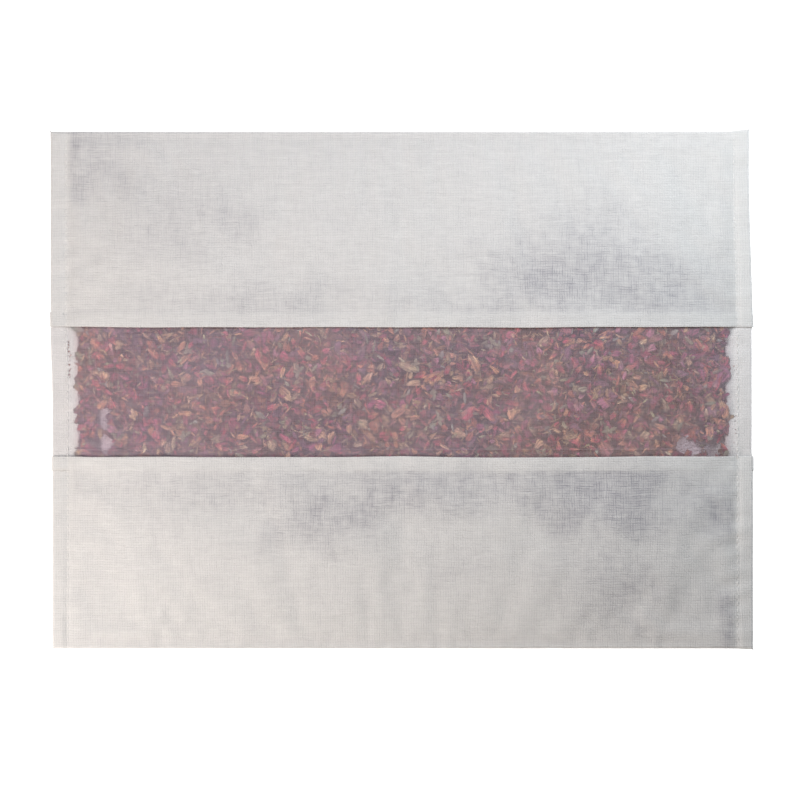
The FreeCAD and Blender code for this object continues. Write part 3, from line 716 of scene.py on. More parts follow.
def show_through(x, y):
    wx = x + 3.5 * MM * smudge_warp(x, y)
    wy = y + 3.0 * MM * smudge_warp(y + 0.3, x)
    total = np.full(np.broadcast(x, y).shape, 0.10)
    for cx, cy, rx, ry, turn, strength in SMUDGES:
        a = math.radians(turn)
        dx, dy = wx - cx * MM, wy - cy * MM
        along = (dx * math.cos(a) + dy * math.sin(a)) / (rx * MM)
        across = (dy * math.cos(a) - dx * math.sin(a)) / (ry * MM)
        total = total + strength * np.exp(-(along**2 + across**2) ** 1.3)
    total = total * (1 + 0.20 * smudge_break(x, y) + 0.14 * smudge_patch(x, 2 * y))
    inside = smoothstep(-0.5 * MM, 2.0 * MM, CHAMBER_X - np.abs(x))
    from_fold = np.where(y > 0, y - FOLD_UP, FOLD_DOWN - y)
    hem = smoothstep(HEM - 0.5 * MM, HEM + 0.5 * MM, from_fold)
    return np.clip(total, 0, 1) * inside * (0.35 + 0.65 * hem)


# --- linen panels ----------------------------------------------------------------------------


def rolled_span(half, step, turns):
    """Flat places from -half to half that stay put while the cloth turns over both ends, and
    the angle it has turned by."""
    flat = spread(-half, half, step)
    ends = np.ones(len(turns))
    places = np.concatenate([ends * flat[0], flat, ends * flat[-1]])
    return places, np.concatenate([-turns[::-1], np.zeros(len(flat)), turns])


def roll(x_angle, y_angle, radius):
    """Offsets of a surface that rolls over an outline: outward in x and y, and down."""
    steep = np.maximum(np.abs(x_angle), np.abs(y_angle))
    return radius * np.sin(x_angle), radius * np.sin(y_angle), radius * (1 - np.cos(steep))


fold_wave = waves(12, 6, 90 * MM, 18 * MM)


def front_panel(cover, material, name, side, fold):
    """A linen front panel. side is 1 above the window and -1 below it. From the hem's raw edge
    the cloth runs under the face, round the fold, over the fill and over the outer edge."""
    outer = HALF_Y - EDGE_RADIUS
    fold_angles = np.radians([180, 150, 120, 90, 60, 30])
    under = np.array([5.0, 3.6, 2.2, 1.0]) * MM
    curl = FOLD_RADIUS * (1 - np.sin(fold_angles))
    top = spread(FOLD_RADIUS, outer - abs(fold), 0.8 * MM)
    edge = np.full(len(EDGE_TURN), top[-1])
    s = np.concatenate([under, curl, top, edge])
    drop = np.zeros(len(s))
    drop[: len(under)] = 2 * FOLD_RADIUS
    drop[len(under) :][: len(curl)] = FOLD_RADIUS * (1 - np.cos(fold_angles))
    y_angle = np.concatenate([np.zeros(len(s) - len(edge)), EDGE_TURN])
    x, x_angle = rolled_span(HALF_X - EDGE_RADIUS, 0.8 * MM, EDGE_TURN)
    x, s = np.meshgrid(x, s)
    x_angle, y_angle = np.meshgrid(x_angle, y_angle)
    pressed = np.where((x < 0) & (side < 0), 0.85, 0.5)
    drop = drop[:, None] * (1 - pressed * on_flange(x))
    near_fold = np.exp(-s / (6 * MM))
    pull = (0.35 - 0.50 * crown_share(x, fold)) * MM if side > 0 else -0.12 * MM
    pull = pull * np.exp(-s / (40 * MM))
    y = fold + side * s + pull + 0.14 * MM * near_fold * fold_wave(x, fold)
    out_x, out_y, down = roll(x_angle, y_angle, EDGE_RADIUS)
    hem = 1 - smoothstep(HEM - 0.7 * MM, HEM + 0.5 * MM, s)
    points = cover.point(x, y, drop)
    points[..., 0] += out_x
    points[..., 1] += side * out_y
    points[..., 2] += 0.16 * MM * hem * (1 - on_flange(x)) - down
    piece = new_piece(f"{name}_cloth", points, grid_faces(*x.shape, flip=side < 0))
    set_float(piece, "show", show_through(x, y))
    thicken(piece)
    return finish_piece(piece, material, "linen", name)


def allowance_height(cover, x, y):
    """The side seam allowances lie just under the organza and sag away from it inwards."""
    sag = 0.4 * np.clip(CHAMBER_X - np.abs(x), 0, 1)
    sagging = organza_height(cover, x, y) - 0.12 * MM - sag
    return np.maximum(sagging, back_height(x, y) + 2.3 * LINEN)


def back_panel(cover, material):
    """The back panel: flat where it rests, rolled up at the outline, with its side seam
    allowances turned in, where they back the flanges."""
    radius = EDGE_RADIUS
    step = 1.2 * MM
    angles = np.append(EDGE_TURN, np.radians([135, 160, 178]))
    x, x_angle = rolled_span(HALF_X - radius, step, angles)
    inward = np.linspace(HALF_X - radius, ALLOWANCE_X, 9)[1:]
    inward_angle = np.full(len(inward), angles[-1])
    x = np.concatenate([-inward[::-1], x, inward])
    x_angle = np.concatenate([-inward_angle, x_angle, inward_angle])
    y, y_angle = rolled_span(HALF_Y - radius, step, EDGE_TURN)
    x, y = np.meshgrid(x, y)
    x_angle, y_angle = np.meshgrid(x_angle, y_angle)
    out_x, out_y, up = roll(x_angle, y_angle, radius - 0.2 * MM)
    window = smoothstep(0, 0.8 * MM, FOLD_UP - y) * smoothstep(0, 0.8 * MM, y - FOLD_DOWN)
    slide = WINDOW_SLIDE * window * smoothstep(0, 3 * MM, np.abs(x) - CHAMBER_X)
    z = back_height(x, y) + up
    wrinkle = waves(14, 8, 50 * MM, 12 * MM)(x, y)
    z = z + 0.25 * MM * wrinkle * np.clip(back_height(x, y) / FLANGE_LOW, 0, 1) * (x_angle == 0)
    z = np.maximum(z + cover.flange_lift(x, y), 0.02 * MM)
    turned_in = np.abs(x_angle) > math.radians(150)
    z = np.where(turned_in, allowance_height(cover, x, y), z)
    out_y = np.where(turned_in, 0.3 * out_y, out_y)
    points = np.dstack([x + out_x - slide, y + out_y, z])
    piece = new_piece("linen_back_panel_cloth", points, grid_faces(*x.shape, flip=True))
    set_float(piece, "show", 0.5 * show_through(x, y) * (x_angle == 0))
    thicken(piece)
    return finish_piece(piece, material, "linen", "linen_back_panel")


def organza_window(cover, material):
    """The sheer strip, from hem to hem and rolled over both side edges. A crease runs along its
    lower side."""
    radius = EDGE_RADIUS - 0.1 * MM
    step = 0.7 * MM
    x, x_angle = rolled_span(HALF_X - radius, step, np.radians([20, 45, 70, 95]))
    y = spread(FOLD_DOWN - HEM, FOLD_UP + HEM, step)
    y = np.unique(np.append(y, spread(CREASE_Y - MM, CREASE_Y + MM, 0.2 * MM)))
    x, y = np.meshgrid(x, y)
    x_angle = np.broadcast_to(x_angle, x.shape)
    out_x, _, down = roll(x_angle, np.zeros_like(x_angle), radius)
    points = cover.point(x, y)
    points[..., 0] += out_x - WINDOW_SLIDE * smoothstep(0, 3 * MM, np.abs(x) - CHAMBER_X)
    points[..., 2] = organza_height(cover, x, y) - down
    piece = new_piece("organza_window_cloth", points, grid_faces(*x.shape))
    set_float(piece, "crease", bump_at(y, CREASE_Y, 0.3 * MM))
    thinning = 0.11 * x / CHAMBER_X
    set_float(piece, "veil", (1.035 - thinning) * (1 - 0.55 * on_flange(x)))
    set_float(piece, "beside", smoothstep(-4 * MM, -MM, np.abs(x) - CHAMBER_X))
    return finish_piece(piece, material, "organza", "organza_window")


# --- sewing ----------------------------------------------------------------------------------


def stitches(node, material, starts, ends):
    """Round-ended bars of thread, each sagging into the cloth at both ends."""
    sides = 6
    t = np.linspace(0, 1, 7)
    angle = np.linspace(0, 2 * math.pi, sides, endpoint=False)[:, None]
    starts, ends = np.asarray(starts), np.asarray(ends)
    direction = ends - starts
    direction = direction / np.linalg.norm(direction, axis=1, keepdims=True)
    side = np.cross(direction, (0, 0, 1.0))
    side = side / np.linalg.norm(side, axis=1, keepdims=True)
    rise = np.cross(side, direction)
    profile = np.sqrt(np.clip(1 - (2 * t - 1) ** 6, 0.02, 1)) * THREAD / 2
    arch = -THREAD * 0.9 * (2 * t - 1) ** 4
    verts, faces = [], []
    for i in range(len(starts)):
        faces += tube_faces(len(t), sides, len(verts))
        around = side[i] * np.cos(angle) + rise[i] * np.sin(angle)
        for j in range(len(t)):
            centre = starts[i] + (ends[i] - starts[i]) * t[j] + rise[i] * arch[j]
            verts += list(centre + around * profile[j])
    return finish_piece(new_piece(f"{node}_thread", verts, faces), material, "thread", node)


def topstitch(cover, material, node, hand):
    """The flange's visible row: on the linen panels, on the organza, and on the underside."""
    rng = np.random.default_rng(SEED + hand)
    length = STITCH_PITCH * 0.80
    count = int(2 * CHAMBER_Y // STITCH_PITCH)
    starts, ends = [], []
    for i in range(count):
        middle = (i - (count - 1) / 2) * STITCH_PITCH
        lean = rng.normal(0, 0.05 * MM)
        for face in ("front", "under"):
            ends_y = np.array([middle - length / 2, middle + length / 2])
            xs = hand * TOPSTITCH_X + np.array([-lean, lean])
            if face == "under":
                z = back_height(xs, ends_y) + cover.flange_lift(xs, ends_y) - 0.02 * MM
            elif FOLD_DOWN < middle < FOLD_UP:
                z = organza_height(cover, xs, ends_y) - 0.02 * MM
            else:
                z = cover.top(xs, ends_y) + 0.12 * MM
            starts.append((xs[0], ends_y[0], z[0]))
            ends.append((xs[1], ends_y[1], z[1]))
    return stitches(node, material, starts, ends)


def hidden_seam(material, node, x, y, z):
    """A seam inside the cover: a row of bars along a line of points."""
    points = np.stack(np.broadcast_arrays(x, y, z), -1)
    gap = (points[1:] - points[:-1]) * 0.12
    return stitches(node, material, points[:-1] + gap, points[1:] - gap)


def hidden_seams(cover, material):
    inside = 1.3 * MM
    run = np.arange(-CHAMBER_X, CHAMBER_X, STITCH_PITCH)
    hidden_seam(material, "top_edge_seam", run, HALF_Y - inside, SEAM_Z)
    hidden_seam(material, "bottom_edge_seam", run, inside - HALF_Y, SEAM_Z)
    run = np.arange(-CHAMBER_Y, CHAMBER_Y, STITCH_PITCH)
    hidden_seam(material, "left_edge_seam", inside - HALF_X, run, SEAM_Z)
    run = np.arange(-CHAMBER_X + MM, CHAMBER_X - MM, STITCH_PITCH)
    seam_lines = {"upper_window_seam": FOLD_UP + 0.8 * MM, "lower_window_seam": FOLD_DOWN - 0.8 * MM}
    for node, y in seam_lines.items():
        z = organza_height(cover, run, np.full_like(run, y)) - 0.25 * MM
        hidden_seam(material, node, run, y, z)


# --- petals and other dried pieces -----------------------------------------------------------


def disc_template(n):
    """A round patch of quads on the unit disc, and its rim flags."""
    t = np.linspace(-1, 1, n)
    a, b = np.meshgrid(t, t)
    swap = np.abs(a) > np.abs(b)
    radius = np.where(swap, np.abs(a), np.abs(b))
    with np.errstate(divide="ignore", invalid="ignore"):
        phi = np.where(swap, (math.pi / 4) * (b / a), math.pi / 2 - (math.pi / 4) * (a / b))
    phi = np.where(radius == 0, 0, phi)
    sign = np.where(swap, np.sign(a), np.sign(b))
    x = radius * np.cos(phi) * sign
    y = radius * np.sin(phi) * sign
    rim = (np.abs(a) == 1) | (np.abs(b) == 1)
    return np.column_stack([x.ravel(), y.ravel()]), rim.ravel()


def shell_faces(n, rim):
    """Faces of a closed lens: an upper and a lower patch that share their rim."""
    upper = np.array(grid_faces(n, n))
    lower_index = np.arange(n * n)
    inner = np.flatnonzero(~rim)
    lower_index[inner] = n * n + np.arange(len(inner))
    lower = lower_index[upper][:, ::-1]
    return np.vstack([upper, lower]), inner


def turn_matrices(yaw, tilt, tilt_way):
    """Rotations that spin a piece flat, then tip it about a level axis."""
    c, s = np.cos(yaw), np.sin(yaw)
    zero, one = np.zeros_like(yaw), np.ones_like(yaw)
    spin = np.stack([c, -s, zero, s, c, zero, zero, zero, one], -1).reshape(-1, 3, 3)
    ax, ay = np.cos(tilt_way), np.sin(tilt_way)
    ct, st = np.cos(tilt), np.sin(tilt)
    k = 1 - ct
    tip = [ct + ax * ax * k, ax * ay * k, ay * st]
    tip += [ax * ay * k, ct + ay * ay * k, -ax * st]
    tip += [-ay * st, ax * st, ct]
    return np.stack(tip, -1).reshape(-1, 3, 3) @ spin


FILL_X = CHAMBER_X - 2.0 * MM
ragged = waves(21, 7, 26 * MM, 4 * MM)

# Places where the fill is thin: centre x, y and reach x, y in mm. Near the window's ends the
# back panel shows there.
BARE_PATCHES = (
    (-102, -10.5, 3.6, 5.6),
    (-103, -18.5, 5.6, 3.9),
    (98, -19, 5.0, 4.0),
    (106, -20, 4.2, 4.4),
    (-48, -5, 3.4, 3.6),
)


def bare(x, y):
    """0 where the fill lies thick, up to 1 in the middle of a bare patch."""
    total = np.zeros(np.broadcast(x, y).shape)
    for cx, cy, rx, ry in BARE_PATCHES:
        away = ((x / MM - cx) / rx) ** 2 + ((y / MM - cy) / ry) ** 2
        total = np.maximum(total, 1.02 * np.exp(-(away**3)))
    return total


def loose_places(rng, count):
    """Random places in the window's top layer: flat x and y, and depth under the organza. The
    sides get more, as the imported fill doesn't reach them."""
    tries = 2 * count
    x = rng.uniform(-FILL_X, FILL_X, tries)
    side = rng.random(tries) < 0.09
    x[side] = np.sign(x[side]) * rng.uniform(FILL_X - 10 * MM, FILL_X - MM, side.sum())
    y = rng.uniform(FOLD_DOWN - 3.5 * MM, FOLD_UP + 3.5 * MM, tries)
    limit = FILL_X - 1.7 * MM + 1.4 * MM * ragged(np.sign(x) * 0.5, y)
    keep = (rng.random(tries) > bare(x, y)) & (np.abs(x) < limit)
    x, y = x[keep][:count], y[keep][:count]
    depth = rng.uniform(0.2, 3.4, count) * MM
    return x, y, depth


DUST_X = CHAMBER_X - 0.2 * MM


def dust_places(rng, count):
    """Crumbs that have worked their way out to the side seams, mostly to the left one."""
    left = rng.random(count) < 0.85
    x = np.where(left, -DUST_X, DUST_X) + rng.normal(0, 0.25 * MM, count)
    y = np.where(left, rng.uniform(4, 17, count), rng.uniform(-20, 16, count)) * MM
    return x, y, np.full(count, 0.12 * MM)


def press(cover, points):
    """Keeps points between the organza and the back panel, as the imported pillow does."""
    x, y, z = points[..., 0], points[..., 1], points[..., 2]
    roof = organza_height(cover, x, y) - 0.12 * MM
    over_allowance = allowance_height(cover, x, y) + 0.06 * MM
    floor = np.where(np.abs(x) > ALLOWANCE_X, over_allowance, back_height(x, y) + 0.45 * MM)
    give = 0.3 * MM  # how near the organza a piece starts to flatten
    over = np.maximum(z - roof + give, 0)
    z = np.where(over > 0, roof - give * np.exp(-over / give), z)
    return np.dstack([x, y, np.maximum(z, np.minimum(floor, roof))])


def rolled(along, radius, start):
    """Bends a flat coordinate round a cylinder: the new coordinate and the height."""
    end = along / radius + start
    return radius * (np.sin(end) - np.sin(start)), radius * (np.cos(start) - np.cos(end))


def petal_sheets(rng, count, length, width, disc):
    """Curled, pleated, torn sheets, one per petal, on the unit disc's points. Gives their half
    lengths and half widths too."""
    dx, dy = disc[None, :, 0], disc[None, :, 1]
    angle, reach = np.arctan2(dy, dx), np.hypot(dx, dy)

    def each(low, high):
        return rng.uniform(low, high, (count, 1))

    size = rng.lognormal(0, 0.26, (count, 1))
    half_l = length / 2 * size
    half_w = width / 2 * size * each(0.6, 1.25)
    torn = each(0.02, 0.16) * np.sin(3 * angle + each(0, 6.3))
    torn = torn + each(0.02, 0.12) * np.sin(5 * angle + each(0, 6.3))
    torn = 1 + torn * reach
    px = half_w * dx * torn * (0.74 + 0.26 * dy)
    py = half_l * dy * torn
    px, lift = rolled(px, half_w * each(0.45, 2.2), each(-0.5, 0.5))
    py, sag = rolled(py, half_l * each(0.9, 4.0), each(-0.6, 0.6))
    pleats = np.sin(math.pi * dx * each(1.2, 3.2) + each(0, 6.3)) * (0.35 + 0.65 * reach)
    creases = np.sin(2.7 * dy + each(0, 6.3)) * np.sin(2.2 * dx + each(0, 6.3))
    face_up = np.where(rng.random((count, 1)) < 0.62, 1.0, -1.0)
    pz = lift * face_up + sag * each(-1, 1) + half_w * (0.14 * pleats + 0.16 * creases)
    pz = pz + half_w * each(-0.5, 0.5) * dx * dy
    return np.stack([px, py, pz - pz.mean(axis=1, keepdims=True)], -1), half_l, half_w


def petal_colours(rng, palette, across, along, reach, depth):
    """A colour for each point of each petal. A palette's row is a petal's colour at its rim and
    at its base."""
    across, along, reach = [value[None, :, None] for value in (across, along, reach)]

    def each(low, high):
        return rng.uniform(low, high, (len(depth), 1, 1))

    pick = rng.integers(0, len(palette), len(depth))
    rims, bases = np.array(palette)[pick].transpose(1, 0, 2)[:, :, None]
    blend = smoothstep(0.2, -0.95, along + each(-0.4, 0.4))
    light = each(0.91, 1.08)
    light = light * (1 + 0.12 * np.sin(4 * across + each(0, 6.3)))
    light = light * (1 + each(-0.36, 0.10) * smoothstep(0.6, 1.0, reach))
    # Petals lying deeper under the organza are darker: painted shade from the pieces above them.
    light = light * (1.04 - 0.13 * np.clip(depth / MM, 0, 4)[:, None, None])
    return (rims * (1 - blend) + bases * blend) * light


def petal_piece(cover, name, count, length, width, palette, material, slot, node, seed, n, places):
    """Petals as closed shells, from an n by n grid of points each. Sizes are in mm."""
    rng = np.random.default_rng(seed)
    disc, rim = disc_template(n)
    faces, inner = shell_faces(n, rim)
    across, along = disc[np.append(np.arange(len(disc)), inner)].T
    reach = np.hypot(across, along)
    sheets, half_l, half_w = petal_sheets(rng, count, length * MM, width * MM, disc)
    lower = sheets[:, inner]
    lower[..., 2] -= 0.15 * MM * (1 - reach[len(disc) :] ** 2) + 0.02 * MM
    shells = np.concatenate([sheets, lower], axis=1)
    yaw = rng.uniform(0, 2 * math.pi, count)
    tilt = np.abs(rng.normal(0, math.radians(26), count))
    turn = turn_matrices(yaw, tilt, rng.uniform(0, 2 * math.pi, count))
    x, y, depth = places(rng, count)
    middle = np.stack([x, y, organza_height(cover, x, y) - depth], -1)
    points = np.einsum("nij,nkj->nki", turn, shells) + middle[:, None]
    first = np.arange(count)[:, None, None] * len(reach)
    piece = new_piece(name, press(cover, points), (faces + first).reshape(-1, 4).tolist())
    colours = petal_colours(rng, palette, across, along, reach, depth)
    set_colour(piece, "tint", colours.reshape(-1, 3))
    veins = np.broadcast_arrays(across * half_w, along * half_l * 0.12, yaw[:, None])
    set_vector(piece, "veins", np.stack(veins, -1))
    return finish_piece(piece, material, slot, *([node] if node else []))


# Colours of each kind: a petal's rim, then its base.
CRIMSON = (
    ((0.34, 0.046, 0.078), (0.45, 0.18, 0.11)),
    ((0.25, 0.034, 0.078), (0.31, 0.08, 0.08)),
    ((0.40, 0.070, 0.105), (0.48, 0.20, 0.13)),
    ((0.25, 0.050, 0.120), (0.30, 0.09, 0.13)),
    ((0.38, 0.115, 0.080), (0.48, 0.22, 0.14)),
    ((0.28, 0.105, 0.125), (0.35, 0.16, 0.12)),
    ((0.17, 0.070, 0.120), (0.23, 0.12, 0.14)),
)
PINK = (
    ((0.38, 0.090, 0.17), (0.46, 0.22, 0.19)),
    ((0.40, 0.150, 0.24), (0.48, 0.27, 0.23)),
    ((0.36, 0.065, 0.13), (0.43, 0.15, 0.13)),
    ((0.34, 0.125, 0.20), (0.41, 0.20, 0.20)),
)
AMBER = (
    ((0.49, 0.245, 0.15), (0.55, 0.35, 0.225)),
    ((0.43, 0.19, 0.115), (0.52, 0.30, 0.165)),
    ((0.50, 0.305, 0.20), (0.56, 0.385, 0.265)),
    ((0.45, 0.20, 0.145), (0.53, 0.31, 0.20)),
    ((0.36, 0.21, 0.125), (0.43, 0.28, 0.165)),
    ((0.38, 0.26, 0.185), (0.46, 0.34, 0.23)),
)
OLIVE = (
    ((0.20, 0.18, 0.12), (0.27, 0.25, 0.16)),
    ((0.26, 0.25, 0.19), (0.33, 0.31, 0.24)),
    ((0.18, 0.14, 0.11), (0.24, 0.20, 0.14)),
    ((0.30, 0.28, 0.18), (0.37, 0.34, 0.22)),
    ((0.28, 0.25, 0.15), (0.35, 0.31, 0.19)),
    ((0.29, 0.30, 0.28), (0.36, 0.36, 0.33)),
)
STRAW = (
    ((0.45, 0.36, 0.26), (0.51, 0.43, 0.32)),
    ((0.36, 0.29, 0.21), (0.43, 0.35, 0.25)),
)


def tube(points, radius, sides=5):
    """A closed tapering tube along a line of points."""
    tangent = np.gradient(points, axis=0)
    tangent /= np.linalg.norm(tangent, axis=1, keepdims=True)
    side = np.cross(tangent, (0.3, 0.2, 1.0))
    side /= np.linalg.norm(side, axis=1, keepdims=True)
    rise = np.cross(side, tangent)
    angle = np.linspace(0, 2 * math.pi, sides, endpoint=False)[:, None]
    around = side[:, None] * np.cos(angle) + rise[:, None] * np.sin(angle)
    taper = radius * np.linspace(1.0, 0.55, len(points))[:, None, None]
    return (points[:, None] + around * taper).reshape(-1, 3), tube_faces(len(points), sides)


def add_part(parts, verts, faces, colour):
    base = sum(len(v) for v, _, _ in parts)
    shifted = [tuple(i + base for i in f) for f in faces]
    parts.append((verts, shifted, np.tile(colour, (len(verts), 1))))


def join_parts(cover, name, parts, material, slot, node):
    verts = press(cover, np.vstack([v for v, _, _ in parts])[None])[0]
    faces = [f for _, fs, _ in parts for f in fs]
    piece = new_piece(name, verts, faces)
    set_colour(piece, "tint", np.vstack([c for _, _, c in parts]))
    return finish_piece(piece, material, slot, node)


def stems(cover, material):
    """Stalks, and hair-fine stamens in small tufts."""
    rng = np.random.default_rng(SEED + 5)
    parts = []
    count = 420
    x, y, depth = loose_places(rng, count)
    for i in range(count):
        tuft = i % 4 == 0
        heading = rng.uniform(0, 2 * math.pi)
        length = rng.uniform(1.6, 4.2) * MM
        radius = rng.uniform(0.10, 0.17) * MM
        strands = rng.integers(4, 8) if tuft else 1
        if tuft:
            length, radius = rng.uniform(1.4, 2.4) * MM, 0.05 * MM
        centre = under_organza(cover, x[i], y[i], min(depth[i], 1.2 * MM))
        tone = rng.uniform(0.75, 1.2)
        colour = np.array((0.46, 0.34, 0.17) if rng.random() < 0.6 else (0.34, 0.16, 0.09)) * tone
        for _ in range(strands):
            a = heading + (rng.normal(0, 0.35) if tuft else 0)
            bend = rng.normal(0, 0.35)
            t = np.linspace(-0.5, 0.5, 7)
            px = t * length * math.cos(a) - bend * t**2 * length * math.sin(a)
            py = t * length * math.sin(a) + bend * t**2 * length * math.cos(a)
            pz = rng.normal(0, 0.2) * t * length
            line = centre + np.column_stack([px, py, pz])
            verts, faces = tube(line, radius)
            add_part(parts, verts, faces, colour)
    return join_parts(cover, "stems_dried", parts, material, "stem", "stems")


def leaf_patch(length, width, bend, n=6):
    """A pointed leaf or sepal as a closed shell, from its base at the origin along +X."""
    t = np.linspace(0, 1, n)
    half = width / 2 * np.sin(math.pi * np.clip(t, 0.06, 0.97)) ** 0.8
    side = np.array([-1, 0, 1])[:, None]
    rise = bend * t**2 * length + 0.25 * half * np.abs(side)
    upper = np.dstack(np.broadcast_arrays(t * length, side * half, rise)).reshape(-1, 3)
    return np.vstack([upper, upper - (0, 0, 0.14 * MM)]), closed_faces(3, n)


def placed(verts, place, yaw, tilt, way):
    return verts @ turn_matrices(yaw, tilt, way)[0].T + place


def under_organza(cover, x, y, depth):
    return np.array([x, y, organza_height(cover, x, y) - depth])


def calyxes(cover, material):
    """Five-pointed calyxes, each with a round base."""
    rng = np.random.default_rng(SEED + 6)
    parts = []
    count = 16
    x, y, _ = loose_places(rng, count)
    for i in range(count):
        middle = under_organza(cover, x[i], y[i], 0.7 * MM)
        turn = rng.uniform(0, 6.28), rng.uniform(0, 0.7), rng.uniform(0, 6.28)
        green = np.array((0.25, 0.23, 0.17)) * rng.uniform(0.7, 1.1)
        for k in range(5):
            verts, faces = leaf_patch(rng.uniform(1.2, 3.2) * MM, 1.3 * MM, rng.uniform(-0.2, 1.1))
            spin = 2 * math.pi * k / 5 + rng.normal(0, 0.3)
            add_part(parts, placed(placed(verts, 0, spin, 0, 0), middle, *turn), faces, green)
        hub = np.array([[0, 0, -1.2], [0, 0, -0.7], [0, 0, -0.1], [0, 0, 0.25]]) * MM
        verts, faces = tube(hub, 0.75 * MM, 9)
        add_part(parts, placed(verts, middle, *turn), faces, green * 1.15)
    return join_parts(cover, "calyxes_dried", parts, material, "calyx", "calyxes")


def leaves(cover, material):
    """Small pointed flakes of leaf, some of them pale."""
    rng = np.random.default_rng(SEED + 7)
    parts = []
    count = 120
    x, y, depth = loose_places(rng, count)
    for i in range(count):
        middle = under_organza(cover, x[i], y[i], min(depth[i], 1.5 * MM))
        length, width = rng.uniform(2.0, 4.4) * MM, rng.uniform(0.8, 2.2) * MM
        verts, faces = leaf_patch(length, width, rng.uniform(-0.5, 0.9))
        pale = rng.random() < 0.4
        green = np.array((0.25, 0.235, 0.225) if pale else (0.21, 0.20, 0.15)) * rng.uniform(0.7, 1.2)
        turn = rng.uniform(0, 6.28), rng.uniform(0, 0.6), rng.uniform(0, 6.28)
        add_part(parts, placed(verts, middle, *turn), faces, green)
    return join_parts(cover, "leaf_flakes_dried", parts, material, "leaf", "leaf_flakes")


def packed_fill(cover, material):
    """The settled fill under the loose layer: a lumpy closed cushion."""
    half_x, half_y = fill_high.x, fill_high.y
    xs, ys = spread(-half_x, half_x, 1.3 * MM), spread(-half_y, half_y, 1.6 * MM)
    x, y = np.meshgrid(xs, ys)
    lumps = waves(30, 16, 9 * MM, 2.6 * MM)(x, y)
    edge = np.minimum(half_x - np.abs(x), half_y - np.abs(y))
    low = back_height(x, y) + 0.6 * MM
    depth = 2.9 * MM + 0.5 * MM * lumps
    high = np.maximum(cover.top(x, y) - ORGANZA_DROP - depth, low + 0.3 * MM)
    high = low + (high - low) * smoothstep(-0.1 * MM, 3 * MM, edge)
    slab = np.stack([np.dstack([x, y, high + 0.05 * MM]), np.dstack([x, y, low])])
    piece = new_piece("packed_petals_bed", slab, closed_faces(*x.shape))
    worn = bare(x, y) * (np.abs(x) > CHAMBER_X / 2)
    set_float(piece, "bare", np.tile(worn.ravel(), 2))
    return finish_piece(piece, material, "packed_fill", "packed_petals")


def fill(cover):
    packed_fill(cover, fill_material())
    crimson = petal_material("crimson_petal")
    pink = petal_material("pink_petal")
    amber = petal_material("amber_petal")
    leaf = petal_material("leaf", 0.6)
    rows = (
        ("crimson_petals_large", 560, 5.0, 4.2, CRIMSON, crimson, "crimson_petal", "crimson_petals", 7),
        ("crimson_petals_mixed", 2000, 3.7, 2.7, CRIMSON, crimson, "crimson_petal", None, 7),
        ("crimson_curls", 1500, 3.3, 1.2, CRIMSON, crimson, "crimson_petal", None, 5),
        ("pink_petals_mixed", 330, 4.0, 3.1, PINK, pink, "pink_petal", "pink_petals", 7),
        ("amber_petals_mixed", 1050, 4.2, 3.2, AMBER, amber, "amber_petal", "amber_petals", 7),
        ("amber_curls", 1200, 3.2, 0.85, AMBER, amber, "amber_petal", None, 5),
        ("straw_flakes", 110, 2.4, 0.9, STRAW, amber, "amber_petal", None, 5),
        ("sepal_curls", 640, 3.1, 1.4, OLIVE, leaf, "leaf", None, 7),
    )
    for index, (name, count, length, width, palette, material, slot, node, n) in enumerate(rows):
        places = (41 + index, n, loose_places)
        petal_piece(cover, name, count, length, width, palette, material, slot, node, *places)
    dust = (0.42, 0.32, CRIMSON, crimson, "crimson_petal", None, 60, 5, dust_places)
    petal_piece(cover, "petal_dust", 70, *dust)
    stems(cover, petal_material("stem", 0.2))
    calyxes(cover, petal_material("calyx", 0.3))
    leaves(cover, leaf)


# --- the pillow ------------------------------------------------------------------------------


def build_pillow():
    cover = Cover()
    linen = linen_material()
    thread = thread_material()
    front_panel(cover, linen, "upper_linen_panel", 1, FOLD_UP)
    front_panel(cover, linen, "lower_linen_panel", -1, FOLD_DOWN)
    back_panel(cover, linen)
    organza_window(cover, organza_material())
    topstitch(cover, thread, "left_topstitch", -1)
    topstitch(cover, thread, "right_topstitch", 1)
    hidden_seams(cover, thread)
    fill(cover)


# --- stage -----------------------------------------------------------------------------------


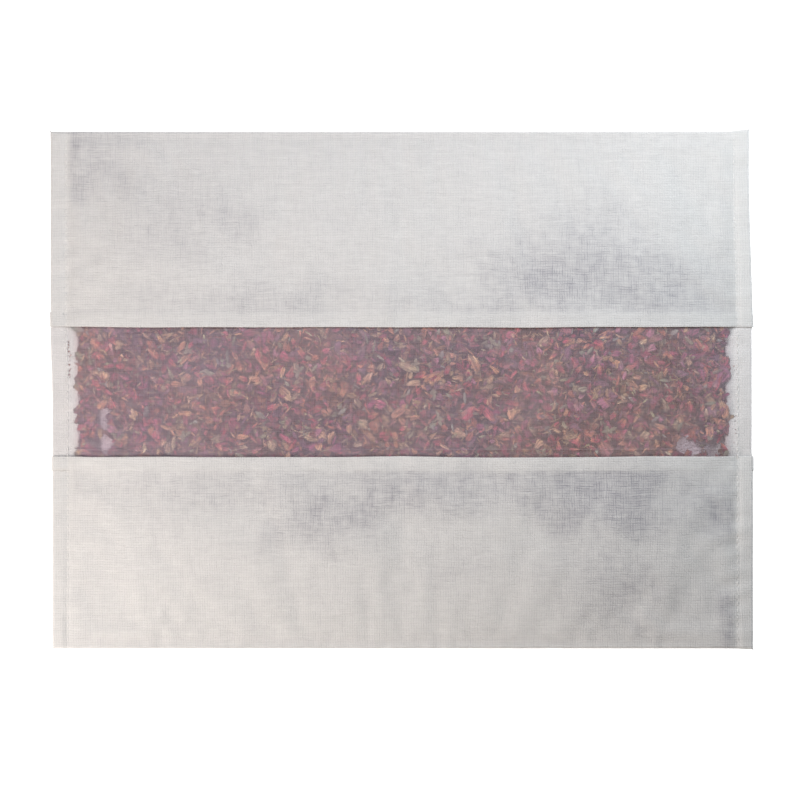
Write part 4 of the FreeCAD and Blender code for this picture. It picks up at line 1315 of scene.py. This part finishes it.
def floor():
    """A plain white floor. A little glow of its own keeps it white up to the pillow's edge."""
    g = Graph("floor")
    diffuse = g.value("ShaderNodeBsdfDiffuse", {"Color": (0.9, 0.9, 0.9)})
    glow = g.value("ShaderNodeEmission", {"Color": (1.0, 1.0, 1.0), "Strength": 0.80})
    both = g.value("ShaderNodeAddShader", {0: diffuse, 1: glow})
    half = 3.0
    corners = [(-half, -half, 0), (half, -half, 0), (half, half, 0), (-half, half, 0)]
    plane = new_piece("floor", corners, [(0, 1, 2, 3)])
    plane.data.materials.append(g.surface(both))


def area_light(name, place, size, power, colour):
    """A round soft light that points at the pillow's middle."""
    light = bpy.data.lights.new(name, "AREA")
    light.shape = "DISK"
    light.size = size
    light.energy = power
    light.color = colour
    lamp = bpy.data.objects.new(name, light)
    lamp.location = place
    lamp.visible_camera = False
    lamp.rotation_euler = (-Vector(place)).to_track_quat("-Z", "Y").to_euler()
    bpy.context.scene.collection.objects.link(lamp)


def lights():
    world = bpy.data.worlds.new("studio")
    world.use_nodes = True
    background = world.node_tree.nodes["Background"]
    background.inputs["Color"].default_value = (1.0, 1.0, 1.0, 1.0)
    background.inputs["Strength"].default_value = 0.12
    bpy.context.scene.world = world
    area_light("warm_left", (-0.276, -0.258, 0.226), 0.18, 1.154, (1.0, 0.932, 0.884))
    area_light("overhead", (-0.057, 0.206, 0.298), 0.20, 0.562, (1.0, 0.973, 0.998))
    area_light("cool_right", (0.210, 0.142, 0.168), 0.12, 0.314, (0.857, 0.943, 1.0))


PICTURE_WIDTH = HALF_X * 2 / 0.875  # the pillow takes up 0.875 of the picture's width
CAMERA_HEIGHT = 1.5


def camera():
    data = bpy.data.cameras.new("camera")
    data.sensor_width = 36.0
    data.lens = data.sensor_width * (CAMERA_HEIGHT - FLANGE_TOP) / PICTURE_WIDTH
    eye = bpy.data.objects.new("camera", data)
    eye.location = (-0.7 * MM, -3.4 * MM, CAMERA_HEIGHT)
    eye.rotation_euler = (0, 0, 0)
    bpy.context.scene.collection.objects.link(eye)
    bpy.context.scene.camera = eye


def colour_management():
    view = bpy.context.scene.view_settings
    view.view_transform = "Standard"
    view.look = "None"


build_pillow()
floor()
lights()
camera()
colour_management()
